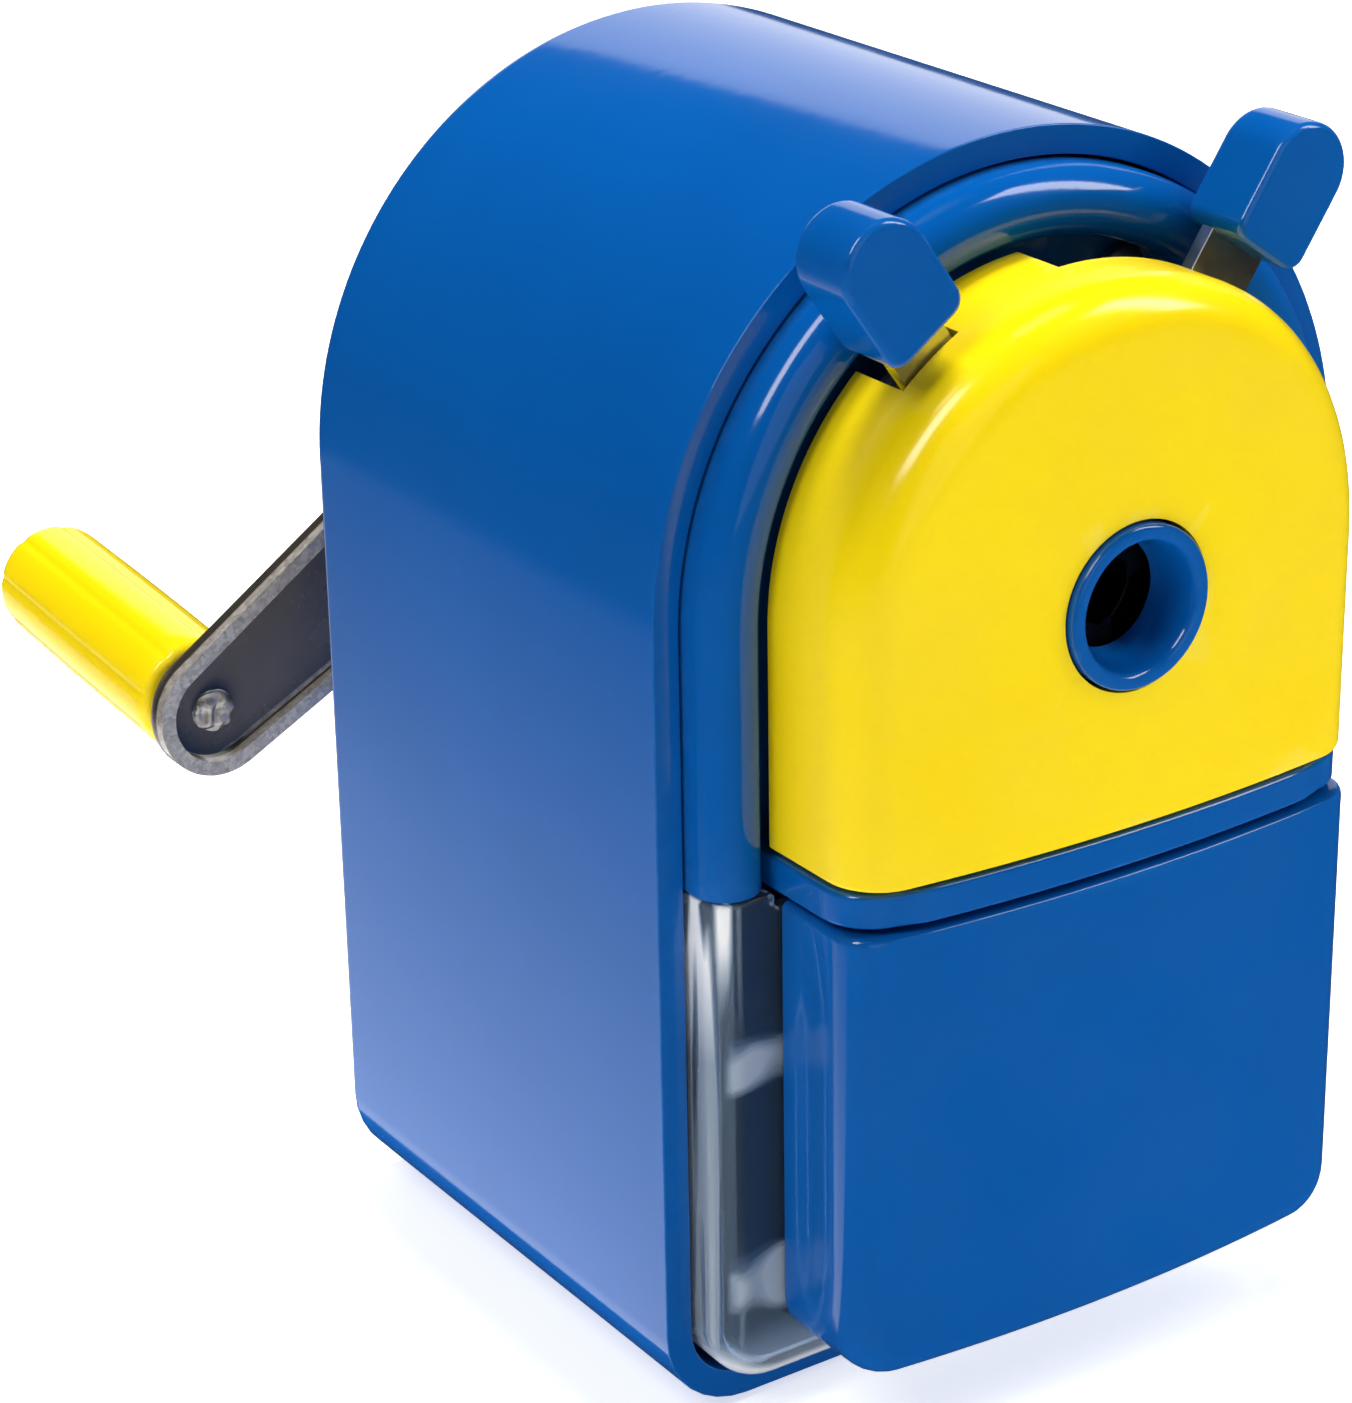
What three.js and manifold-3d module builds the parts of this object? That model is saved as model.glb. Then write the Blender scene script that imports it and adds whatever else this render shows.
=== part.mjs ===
// Hand-cranked desk pencil sharpener with a pull-out feed carriage and a shavings drawer.
// Millimetres, +Z up, the pencil enters along +Y and the crank is at the back.
// While it is modelled, X = 0 is the middle plane, Y = 0 is the casing's front rim and
// Z = 0 is the casing's underside. The last lines move the origin to the centre of the
// whole object's plan box, on the surface that its feet stand on.

import * as THREE from 'three';
import { mergeVertices } from 'three/addons/utils/BufferGeometryUtils.js';
import Module from 'manifold-3d';

const wasm = await Module();
wasm.setup();

// ---------------------------------------------------------------- driving dimensions

const GAP = 0.3; // between pieces that touch
const PENCIL_HOLE_RADIUS = 5.7;

const CASING_HALF_WIDTH = 38;
const CASING_DEPTH = 58;
const CASING_WALL = 2.7;
const CASING_CORNER = 8.7;
const AXIS_Z = 77; // height of the pencil and crank axis, and centre of the arch

const BEAD_INNER = 29;
const BEAD_FRONT = -4.4;
const FRAME_BOTTOM = 53;
const PLATE_FRONT = 2;
const PLATE_BACK = 5;

const NOSE_HALF_WIDTH = 28.3; // yellow cap, shelf and drawer front share this plan
const NOSE_FRONT = -17.7;
const NOSE_BOW = 2;
const NOSE_WALL = 2;
const CAP_BOTTOM = 56.3;
const CAP_BACK = -3;

const SHELF_TOP = 55.8;
const SHELF_BOTTOM = 52.5;
const DRAWER_FRONT_TOP = 52;
const DRAWER_FRONT_BOTTOM = 7.5;
const DRAWER_FRONT_BACK = -4.8;
const TRAY_HALF_WIDTH = 34.8;
const TRAY_BOTTOM = 3.3;
const TRAY_TOP = 51.3;
const TRAY_WALL = 1.8;
const TRAY_BACK = 53;

const LEFT_LEVER = { angle: 125.1, width: 5.8, front: -9.2 }; // fixed, part of the carriage plate
const RIGHT_LEVER = { angle: 55.4, width: 7, front: -8.2 }; // turns the chuck
const LEVER_THICKNESS = 1.5;
const LEVER_END = 38.5;
const TAB_INNER = 32;
const TAB_OUTER = 44.4;
const TAB_WIDTH = 8.8;
const TAB_AHEAD = 3.85; // how far a tab stands in front of its lever
const TAB_DEPTH = 7.3;

const SHEET = 1.5; // thickness of the pressed steel plates
const CARRIAGE_PLATE_FRONT = -4.5;
const CARRIAGE_PLATE_BACK = CARRIAGE_PLATE_FRONT + SHEET;
const ROD_X = 22;
const ROD_Z = 62;
const ROD_RADIUS = 2;
const ROD_END = 46;
const CLIP_Y = 44.4;
const CLIP_THICKNESS = 0.8;
const ROD_BOSS_END = 9;

const RING_RADIUS = 7.5; // outside of the grommet round the pencil hole
const RING_FRONT = -18.4;
const CAP_SCREW_RADIUS = 1.2;
const CAP_SCREW_SPOTS = { left: [-21, 88], right: [21, 88] };
const NOTCH_BELOW_LEVER = 0.35;
const LEFT_NOTCH = { from: 132.2, to: 118, bottom: LEFT_LEVER.front - NOTCH_BELOW_LEVER };
const RIGHT_RECESS = { from: 94, to: 46, bottom: RIGHT_LEVER.front - NOTCH_BELOW_LEVER };

const SLEEVE_RADIUS = 7.6;
const CHUCK_RING_OUTER = 12.6;
const JAW_REACH = 12.9;
const JAW_EYE_RADIUS = 2.7;
const JAW_PIN_RADIUS = 1.2;
const JAW_PIN_DISTANCE = 15.5;
const JAW_ANGLES = [30, 150, 270];
const JAW_FRONT = -12.6;
const JAW_BACK = -9.8;

const CUTTER_TILT = 10.5; // degrees between the cutter's axis and the pencil's
const CUTTER_RADIUS = 7.8;
const AXLE_RADIUS = 2; // the cutter and its pinion turn on this axle
const CUTTER_NEAR = -3.4; // stations along the tilted axis, from the pinion's middle
const CUTTER_FAR = -30.4;
const GEAR_MODULE = 1;
const RING_TEETH = 26;
const PINION_TEETH = 12;
const GEAR_Y = 48.3;
const GEAR_CENTRES = GEAR_MODULE * (RING_TEETH - PINION_TEETH) / 2;
const CARRIER_RADIUS = 11.4;
const NOSE_BUSH_RADIUS = 11.2;
const NOSE_TUBE_RADIUS = 8;

const CAP_CUP_RADIUS = 17.4;
const CAP_CUP_BORE = 15.7;
const CAP_FLANGE_RADIUS = 20.5;
const SHAFT_RADIUS = 3.9;
const BUSH_RADIUS = 5.6;

const SHAFT_SHOULDER_RADIUS = 5.4;
const SHAFT_STUB_RADIUS = 2.8;
const CRANK_RADIUS = 53.3;
const CRANK_ANGLE = -149; // direction of the arm, degrees above +X
const ARM_BACK = 69.6; // flat back of the arm's web
const ARM_DEPTH_AT_PIN = 3.5;
const ARM_DEPTH_AT_HUB = 3;
const ARM_HUB_RADIUS = 9.7;
const ARM_PIN_RADIUS = 6.45;
const WASHER_THICKNESS = 0.8;
const PIN_LEAN = 3; // degrees that the handle's pin leans towards the crank's axis
const PIN_SHANK_RADIUS = 1.6;
const PIN_HEAD_RADIUS = 2.2;
const SPINDLE_RADIUS = 2.4;
const SPINDLE_END = 33;
const GRIP_RADIUS = 6.15;
const GRIP_LENGTH = 37.8;

const FOOT_PROUD = 0.8;
const FOOT_RADIUS = 4.6;
const FOOT_RECESS = 1.4;
const FOOT_SPOTS = {
  foot_front_left: [-24, 7],
  foot_front_right: [24, 7],
  foot_rear_left: [-24, 50],
  foot_rear_right: [24, 50],
};

const SCREW_ANGLES = { left: 120, right: 60 };
const SCREW_DISTANCE = 26;
const SCREW_RADIUS = 1.4;
const CASING_BOSS_RADIUS = 3.4;
const CASING_BOSS_END = 22;
const CASING_RIB = 2.4;

const FAR = 200; // reach of the cutting tools that run right through a piece

const BLUE = { color: 0x0151a0, roughness: 0.25, metalness: 0 };
const YELLOW = { color: 0xffe600, roughness: 0.3, metalness: 0 };
const CLEAR = { color: 0xb8c4cc, roughness: 0.1, metalness: 0, transparent: true, opacity: 0.35 };
const STEEL = { color: 0x8f9194, roughness: 0.35, metalness: 1 };
const CHROME = { color: 0xb9babc, roughness: 0.12, metalness: 1 };
const TOOL_STEEL = { color: 0x55575a, roughness: 0.3, metalness: 1 };
const ZINC = { color: 0x9a9ca0, roughness: 0.5, metalness: 1 };
const BRASS = { color: 0xb08d3e, roughness: 0.4, metalness: 1 };
const ACETAL = { color: 0x202226, roughness: 0.5, metalness: 0 };
const RUBBER = { color: 0x151515, roughness: 0.9, metalness: 0 };

// ---------------------------------------------------------------- geometry helpers

const radians = THREE.MathUtils.degToRad;

// Merges shared corners, drops collapsed triangles and turns the faces outward.
// What a boolean gave back is closed already.
function closed(geometry) {
  if (geometry.userData.isClosed) return geometry;
  const bare = geometry.clone();
  for (const name of Object.keys(bare.attributes)) {
    if (name !== 'position') bare.deleteAttribute(name);
  }
  const merged = mergeVertices(bare, 1e-4);
  const corner = merged.attributes.position;
  const indices = [];
  let volume = 0;
  const [a, b, c] = [new THREE.Vector3(), new THREE.Vector3(), new THREE.Vector3()];
  for (let i = 0; i < merged.index.count; i += 3) {
    const [p, q, r] = [0, 1, 2].map((k) => merged.index.getX(i + k));
    if (p === q || q === r || r === p) continue;
    indices.push(p, q, r);
    a.fromBufferAttribute(corner, p);
    b.fromBufferAttribute(corner, q);
    c.fromBufferAttribute(corner, r);
    volume += a.dot(b.cross(c));
  }
  if (volume < 0) indices.reverse();
  merged.setIndex(indices);
  return merged;
}

function solid(geometry) {
  const tidy = closed(geometry);
  return new wasm.Manifold(new wasm.Mesh({
    numProp: 3,
    vertProperties: new Float32Array(tidy.attributes.position.array),
    triVerts: new Uint32Array(tidy.index.array),
  }));
}

function geometryOf(manifold) {
  const mesh = manifold.getMesh();
  const geometry = new THREE.BufferGeometry();
  geometry.setAttribute('position', new THREE.BufferAttribute(mesh.vertProperties, 3));
  geometry.setIndex(new THREE.BufferAttribute(mesh.triVerts, 1));
  geometry.userData.isClosed = true;
  return geometry;
}

function join(...geometries) {
  return geometryOf(geometries.map(solid).reduce((sum, part) => sum.add(part)));
}

function cut(geometry, ...tools) {
  return geometryOf(tools.map(solid).reduce((rest, tool) => rest.subtract(tool), solid(geometry)));
}

function common(geometry, other) {
  return geometryOf(solid(geometry).intersect(solid(other)));
}

function polar(radius, degrees, z = AXIS_Z) {
  return [radius * Math.cos(radians(degrees)), z + radius * Math.sin(radians(degrees))];
}

function arc(x, y, radius, from, to, steps) {
  const points = [];
  for (let i = 0; i <= steps; i += 1) {
    const angle = radians(from + (to - from) * i / steps);
    points.push(new THREE.Vector2(x + radius * Math.cos(angle), y + radius * Math.sin(angle)));
  }
  return points;
}

function circle(x, y, radius, sides = 20) {
  return arc(x, y, radius, 0, 360, sides).slice(0, sides);
}

// Tunnel outline: flat bottom with rounded corners, and a half-round top on the axis.
function archPoints(halfWidth, bottom, corner, archSteps = 24) {
  return [
    ...arc(halfWidth - corner, bottom + corner, corner, -90, 0, 4),
    ...arc(0, AXIS_Z, halfWidth, 0, 180, archSteps),
    ...arc(-halfWidth + corner, bottom + corner, corner, 180, 270, 4),
  ];
}

// Arch of constant width with straight legs down to the given height.
function horseshoePoints(outer, inner, bottom) {
  return [
    new THREE.Vector2(outer, bottom),
    ...arc(0, AXIS_Z, outer, 0, 180, 24),
    new THREE.Vector2(-outer, bottom),
    new THREE.Vector2(-inner, bottom),
    ...arc(0, AXIS_Z, inner, 180, 0, 24),
    new THREE.Vector2(inner, bottom),
  ];
}

// Upright rectangle about the middle plane, with rounded lower corners.
function trayPoints(halfWidth, bottom, top, corner) {
  return [
    ...arc(halfWidth - corner, bottom + corner, corner, -90, 0, 4),
    new THREE.Vector2(halfWidth, top),
    new THREE.Vector2(-halfWidth, top),
    ...arc(-halfWidth + corner, bottom + corner, corner, 180, 270, 4),
  ];
}

// Plan of the nose: straight sides, rounded front corners and a slightly bowed front.
function nosePlan(inset, back) {
  const halfWidth = NOSE_HALF_WIDTH - inset;
  const front = NOSE_FRONT + inset;
  const corner = 5 - inset / 2;
  const bowSteps = 8;
  const points = [new THREE.Vector2(halfWidth, back), new THREE.Vector2(-halfWidth, back)];
  points.push(...arc(-halfWidth + corner, front + NOSE_BOW + corner, corner, 180, 262, 4));
  for (let i = 1; i < bowSteps; i += 1) {
    const x = (2 * i / bowSteps - 1) * (halfWidth - corner);
    const sag = NOSE_BOW * (x / halfWidth) ** 2;
    points.push(new THREE.Vector2(x, front + sag));
  }
  points.push(...arc(halfWidth - corner, front + NOSE_BOW + corner, corner, 278, 360, 4));
  return points;
}

function shapeOf(points, ...holes) {
  const shape = new THREE.Shape(points);
  for (const hole of holes) shape.holes.push(new THREE.Path(hole));
  return shape;
}

// Extrudes an X-Z outline from one Y to another, with both ends rounded if asked.
function alongY(shape, front, back, rounding = 0, roundingSteps = 3) {
  const geometry = new THREE.ExtrudeGeometry(shape, {
    depth: back - front - 2 * rounding,
    bevelEnabled: rounding > 0,
    bevelThickness: rounding,
    bevelSize: rounding,
    bevelOffset: -rounding,
    bevelSegments: roundingSteps,
    curveSegments: 6,
  });
  geometry.rotateX(Math.PI / 2);
  geometry.translate(0, back - rounding, 0);
  return geometry;
}

function alongZ(shape, bottom, top) {
  const geometry = new THREE.ExtrudeGeometry(shape, { depth: top - bottom, bevelEnabled: false });
  geometry.translate(0, 0, bottom);
  return geometry;
}

function block(x0, x1, y0, y1, z0, z1) {
  const geometry = new THREE.BoxGeometry(x1 - x0, y1 - y0, z1 - z0);
  geometry.translate((x0 + x1) / 2, (y0 + y1) / 2, (z0 + z1) / 2);
  return geometry;
}

// Spins [radius, y] pairs about a line along Y through (x, z).
function turned(pairs, x = 0, z = AXIS_Z, sides = 20) {
  const points = pairs.map(([radius, y]) => new THREE.Vector2(radius, y));
  if (pairs[0][0] > 0) points.push(points[0].clone());
  const geometry = new THREE.LatheGeometry(points, sides);
  geometry.translate(x, 0, z);
  return geometry;
}

function rod(x, z, radius, front, back, sides = 16) {
  return turned([[0, front], [radius, front], [radius, back], [0, back]], x, z, sides);
}

function sleeve(x, z, inner, outer, front, back, sides = 20) {
  return turned([[inner, front], [outer, front], [outer, back], [inner, back]], x, z, sides);
}

function sectorPoints(inner, outer, from, to, steps) {
  return [
    ...arc(0, AXIS_Z, outer, from, to, steps),
    ...arc(0, AXIS_Z, inner, to, from, steps),
  ];
}

// Turns a geometry about the pencil axis, from pointing along +X to the given angle.
function swung(geometry, degrees) {
  geometry.translate(0, 0, -AXIS_Z);
  geometry.rotateY(-radians(degrees));
  geometry.translate(0, 0, AXIS_Z);
  return geometry;
}

class Helix extends THREE.Curve {
  constructor(radius, start, length, turns) {
    super();
    Object.assign(this, { radius, start, length, turns });
  }

  getPoint(t, target = new THREE.Vector3()) {
    const angle = 2 * Math.PI * this.turns * t;
    const y = this.start + this.length * t;
    return target.set(this.radius * Math.cos(angle), y, this.radius * Math.sin(angle));
  }
}

const group = new THREE.Group();

function add(name, geometry, finish, parent = group) {
  const mesh = new THREE.Mesh(closed(geometry), new THREE.MeshStandardMaterial(finish));
  mesh.name = name;
  parent.add(mesh);
  return mesh;
}

// ---------------------------------------------------------------- casing and its fixed pieces

function housingShell() {
  const rearRounding = 2;
  const capHoleRadius = CAP_CUP_RADIUS + 0.5;
  const innerCorner = CASING_CORNER - CASING_WALL;
  const outer = shapeOf(archPoints(CASING_HALF_WIDTH, 0, CASING_CORNER));
  const inner = shapeOf(archPoints(CASING_HALF_WIDTH - CASING_WALL, CASING_WALL, innerCorner));
  const blank = alongY(outer, -2 * rearRounding, CASING_DEPTH, rearRounding);
  const cavity = alongY(inner, -3 * rearRounding, CASING_DEPTH - CASING_WALL);
  const inFront = block(-FAR, FAR, -FAR, 0, -FAR, FAR);
  const capHole = rod(0, AXIS_Z, capHoleRadius, CASING_DEPTH - 5, CASING_DEPTH + 5, 32);
  let shell = cut(blank, cavity, inFront, capHole);
  const bossFront = PLATE_BACK + GAP;
  for (const angle of Object.values(SCREW_ANGLES)) {
    const [x, z] = polar(SCREW_DISTANCE, angle);
    const post = rod(x, z, CASING_BOSS_RADIUS, bossFront, CASING_BOSS_END);
    const rib = block(
      SCREW_DISTANCE,
      CASING_HALF_WIDTH - 1,
      bossFront,
      CASING_BOSS_END,
      AXIS_Z - CASING_RIB / 2,
      AXIS_Z + CASING_RIB / 2,
    );
    const pilot = rod(x, z, SCREW_RADIUS + GAP, 0, CASING_BOSS_END - 2, 12);
    shell = cut(join(shell, post, swung(rib, angle)), pilot);
  }
  for (const [x, y] of Object.values(FOOT_SPOTS)) {
    const radius = FOOT_RADIUS + GAP;
    const recess = new THREE.CylinderGeometry(radius, radius, 2 * FOOT_RECESS, 20);
    recess.rotateX(Math.PI / 2);
    recess.translate(x, y, 0);
    shell = cut(shell, recess);
  }
  return shell;
}

function addFeet() {
  const height = FOOT_PROUD + FOOT_RECESS - GAP;
  for (const [name, [x, y]] of Object.entries(FOOT_SPOTS)) {
    const foot = new THREE.CylinderGeometry(FOOT_RADIUS, FOOT_RADIUS - 0.4, height, 20);
    foot.rotateX(Math.PI / 2);
    foot.translate(x, y, height / 2 - FOOT_PROUD);
    add(name, foot, RUBBER);
  }
}

function frontFrame() {
  const ringOuter = CASING_HALF_WIDTH - CASING_WALL - GAP;
  const beadRounding = 2.6;
  const through = [-10, 20];
  const bead = alongY(
    shapeOf(horseshoePoints(ringOuter, BEAD_INNER, FRAME_BOTTOM - 10)),
    BEAD_FRONT,
    PLATE_FRONT + 2 * beadRounding,
    beadRounding,
  );
  const below = block(-FAR, FAR, -FAR, FAR, -FAR, FRAME_BOTTOM);
  const behind = block(-FAR, FAR, PLATE_BACK - 0.5, FAR, -FAR, FAR);
  const plate = alongY(shapeOf(archPoints(ringOuter, SHELF_BOTTOM, 0.5)), PLATE_FRONT, PLATE_BACK);
  const shelf = alongZ(shapeOf(nosePlan(0, PLATE_FRONT + 1)), SHELF_BOTTOM, SHELF_TOP);
  const pocketPlan = shapeOf(nosePlan(NOSE_WALL, PLATE_FRONT - GAP));
  const pocket = alongZ(pocketPlan, SHELF_BOTTOM - 5, SHELF_TOP - NOSE_WALL);
  const bosses = [];
  const bores = [rod(0, AXIS_Z, NOSE_BUSH_RADIUS + GAP, ...through, 32)];
  for (const side of [-1, 1]) {
    bosses.push(rod(side * ROD_X, ROD_Z, ROD_RADIUS + 2.2, PLATE_FRONT, ROD_BOSS_END));
    bores.push(rod(side * ROD_X, ROD_Z, ROD_RADIUS + GAP, ...through));
  }
  for (const angle of Object.values(SCREW_ANGLES)) {
    bores.push(rod(...polar(SCREW_DISTANCE, angle), SCREW_RADIUS + GAP, ...through, 12));
  }
  const trimmedBead = cut(bead, below, behind);
  return cut(join(trimmedBead, plate, cut(shelf, pocket), ...bosses), ...bores);
}

function addFrameScrews() {
  for (const [side, angle] of Object.entries(SCREW_ANGLES)) {
    const [x, z] = polar(SCREW_DISTANCE, angle);
    const seat = PLATE_FRONT - GAP;
    const profile = [
      [0, seat - 1.6], [1.8, seat - 1.6], [2.7, seat - 0.9], [2.7, seat],
      [SCREW_RADIUS, seat], [SCREW_RADIUS, seat + 14], [0, seat + 15],
    ];
    add(`frame_screw_${side}`, turned(profile, x, z, 16), STEEL);
  }
}

function rearBearingCap() {
  const rim = CASING_DEPTH + GAP;
  const flange = rim + 2;
  const bossEnd = flange + 2.2;
  const floor = 54.2;
  const cupFront = GEAR_Y - 1.7; // just behind the cutter's sweep
  const body = turned([
    [CAP_CUP_BORE, cupFront], [CAP_CUP_RADIUS, cupFront], [CAP_CUP_RADIUS, rim],
    [CAP_FLANGE_RADIUS, rim], [CAP_FLANGE_RADIUS, flange - 0.6], [CAP_FLANGE_RADIUS - 0.6, flange],
    [7.4, flange], [6.8, bossEnd], [BUSH_RADIUS + GAP, bossEnd], [BUSH_RADIUS + GAP, floor],
    [CAP_CUP_BORE, floor],
  ], 0, AXIS_Z, 28);
  const ears = [0, 180].map((angle) => {
    const ear = block(10.5, 18.5, flange - 1, flange + 1, AXIS_Z - 2, AXIS_Z + 2);
    return swung(ear, angle);
  });
  return join(body, ...ears);
}

// Ring of inward teeth, with a gap between two of them straight above the axis.
function ringGear() {
  const pitch = 360 / RING_TEETH;
  const pitchRadius = GEAR_MODULE * RING_TEETH / 2;
  const root = pitchRadius + 1.1;
  const tip = pitchRadius - 0.55;
  const outline = [];
  for (let i = 0; i < RING_TEETH; i += 1) {
    const middle = 90 + (i + 0.5) * pitch;
    outline.push([root, middle - 0.3 * pitch], [tip, middle - 0.13 * pitch]);
    outline.push([tip, middle + 0.13 * pitch], [root, middle + 0.3 * pitch]);
  }
  const bore = outline.map(([radius, angle]) => new THREE.Vector2(...polar(radius, angle)));
  const middleY = GEAR_Y + pitchRadius / 2 * Math.sin(radians(CUTTER_TILT)); // the pinion's tooth
  const halfWidth = 2;
  const section = shapeOf(circle(0, AXIS_Z, CAP_CUP_BORE - GAP, 40), bore);
  return alongY(section, middleY - halfWidth, middleY + halfWidth);
}

function addCasing() {
  add('housing_shell', housingShell(), BLUE);
  add('front_frame', frontFrame(), BLUE);
  addFrameScrews();
  addFeet();
  add('rear_bearing_cap', rearBearingCap(), BLUE);
  add('ring_gear', ringGear(), ZINC);
  add('rear_bush', sleeve(0, AXIS_Z, SHAFT_RADIUS + GAP, BUSH_RADIUS, 54.4, 62.2), BRASS);
  const bushBore = NOSE_TUBE_RADIUS + GAP;
  const bushFlange = NOSE_BUSH_RADIUS + 1.6;
  const [bushFront, bushBack] = [PLATE_FRONT - 0.6, PLATE_BACK + 1.7];
  add('nose_bush', turned([
    [bushBore, bushFront], [NOSE_BUSH_RADIUS, bushFront], [NOSE_BUSH_RADIUS, PLATE_BACK + GAP],
    [bushFlange, PLATE_BACK + GAP], [bushFlange, bushBack], [bushBore, bushBack],
  ]), ACETAL);
}

// ---------------------------------------------------------------- feed carriage

function frontCap() {
  const frontRounding = 4.2;
  const belowCap = CAP_BOTTOM - 20;
  const innerHalf = NOSE_HALF_WIDTH - NOSE_WALL;
  const innerFront = NOSE_FRONT + NOSE_BOW + NOSE_WALL;
  const postRadius = 3;
  const coverShape = shapeOf(archPoints(NOSE_HALF_WIDTH, belowCap, 5));
  const cover = alongY(coverShape, NOSE_FRONT, 12, frontRounding, 4);
  const plan = alongZ(shapeOf(nosePlan(0, CAP_BACK)), CAP_BOTTOM, FAR);
  const cavity = alongY(shapeOf(archPoints(innerHalf, CAP_BOTTOM + NOSE_WALL, 2)), innerFront, 20);
  const slots = [LEFT_NOTCH, RIGHT_RECESS].map(({ from, to, bottom }) => (
    alongY(shapeOf(sectorPoints(24, 32, to, from, 6)), bottom, 10)
  ));
  let cap = cut(common(cover, plan), cavity);
  for (const [x, z] of Object.values(CAP_SCREW_SPOTS)) {
    const blank = rod(x, z, postRadius, innerFront - 1, CARRIAGE_PLATE_FRONT - GAP);
    const pilot = rod(x, z, CAP_SCREW_RADIUS + GAP, innerFront + 1.5, 5, 12);
    cap = cut(join(cap, common(blank, cover)), pilot);
  }
  return cut(cap, rod(0, AXIS_Z, RING_RADIUS + GAP, -25, 0, 32), ...slots);
}

function holeRing() {
  const bore = PENCIL_HOLE_RADIUS - 0.7;
  const neck = 6.6;
  const neckBack = -13.4;
  return turned([
    [bore, neckBack], [neck, neckBack], [neck, RING_FRONT + 2.8], [RING_RADIUS, RING_FRONT + 2.4],
    [RING_RADIUS, RING_FRONT + 0.5], [RING_RADIUS - 0.4, RING_FRONT + 0.05], [6.6, RING_FRONT],
    [6.2, RING_FRONT + 0.3], [PENCIL_HOLE_RADIUS, RING_FRONT + 1.2], [bore, RING_FRONT + 2.8],
  ], 0, AXIS_Z, 24);
}

// Steel plate that closes the cap and carries the fixed lever, which steps forward.
function carriagePlate() {
  const insetHalf = NOSE_HALF_WIDTH - NOSE_WALL - 2 * GAP;
  const holes = [circle(0, AXIS_Z, PENCIL_HOLE_RADIUS + 1.2, 24)];
  for (const side of [-1, 1]) {
    holes.push(circle(side * ROD_X, ROD_Z, ROD_RADIUS + GAP, 16));
  }
  for (const [x, z] of Object.values(CAP_SCREW_SPOTS)) {
    holes.push(circle(x, z, CAP_SCREW_RADIUS + GAP, 12));
  }
  for (const angle of JAW_ANGLES) {
    holes.push(circle(...polar(JAW_PIN_DISTANCE, angle), JAW_PIN_RADIUS + GAP, 12));
  }
  const plate = alongY(
    shapeOf(archPoints(insetHalf, CAP_BOTTOM + NOSE_WALL + 0.4, 2), ...holes),
    CARRIAGE_PLATE_FRONT,
    CARRIAGE_PLATE_BACK,
  );
  const { angle, width, front } = LEFT_LEVER;
  const sideView = [
    [19, CARRIAGE_PLATE_BACK], [19, CARRIAGE_PLATE_FRONT], [21, front], [LEVER_END, front],
    [LEVER_END, front + LEVER_THICKNESS], [22.8, front + LEVER_THICKNESS],
    [21.2, CARRIAGE_PLATE_BACK],
  ].map(([x, y]) => new THREE.Vector2(x, y));
  const lever = alongZ(shapeOf(sideView), AXIS_Z - width / 2, AXIS_Z + width / 2);
  return join(plate, swung(lever, angle));
}

// Moulded finger tab: a block with a round outer end and a pocket for the lever.
function tab(lever) {
  const half = TAB_WIDTH / 2;
  const corner = 1;
  const outline = [
    ...arc(TAB_OUTER - half, AXIS_Z, half, -90, 90, 8),
    ...arc(TAB_INNER + corner, AXIS_Z + half - corner, corner, 90, 180, 2),
    ...arc(TAB_INNER + corner, AXIS_Z - half + corner, corner, 180, 270, 2),
  ];
  const front = lever.front - TAB_AHEAD;
  const body = alongY(shapeOf(outline), front, front + TAB_DEPTH, 0.8, 2);
  const pocketHalf = lever.width / 2 + GAP;
  const pocket = block(
    TAB_INNER - 5,
    LEVER_END + GAP,
    lever.front - GAP,
    lever.front + LEVER_THICKNESS + GAP,
    AXIS_Z - pocketHalf,
    AXIS_Z + pocketHalf,
  );
  return swung(cut(body, pocket), lever.angle);
}

function addGuideRods() {
  const clipBack = CLIP_Y + CLIP_THICKNESS;
  const headBack = CARRIAGE_PLATE_FRONT - GAP;
  const [grooveFront, grooveBack] = [CLIP_Y - 0.2, clipBack + 0.2];
  const grooveRadius = 1.4;
  const chamfer = 0.5;
  const profile = [
    [0, headBack - 1.2], [2.6, headBack - 1.2], [3.2, headBack - 0.6], [3.2, headBack],
    [ROD_RADIUS, headBack], [ROD_RADIUS, grooveFront], [grooveRadius, grooveFront],
    [grooveRadius, grooveBack], [ROD_RADIUS, grooveBack], [ROD_RADIUS, ROD_END - chamfer],
    [ROD_RADIUS - chamfer, ROD_END], [0, ROD_END],
  ];
  const springRadius = 3;
  const springTurns = 8;
  const wire = 0.45;
  const springStart = ROD_BOSS_END + 0.8;
  const springLength = CLIP_Y - 0.8 - springStart;
  const wireSection = shapeOf(circle(0, 0, wire, 4));
  for (const [side, x] of [['left', -ROD_X], ['right', ROD_X]]) {
    add(`guide_rod_${side}`, turned(profile, x, ROD_Z, 14), STEEL);
    add(`rod_clip_${side}`, sleeve(x, ROD_Z, 1.7, 4.2, CLIP_Y, clipBack, 14), STEEL);
    const spring = new THREE.ExtrudeGeometry(wireSection, {
      steps: 8 * springTurns,
      extrudePath: new Helix(springRadius, springStart, springLength, springTurns),
      bevelEnabled: false,
    });
    spring.translate(x, 0, ROD_Z);
    add(`feed_spring_${side}`, spring, STEEL);
  }
}

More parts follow.
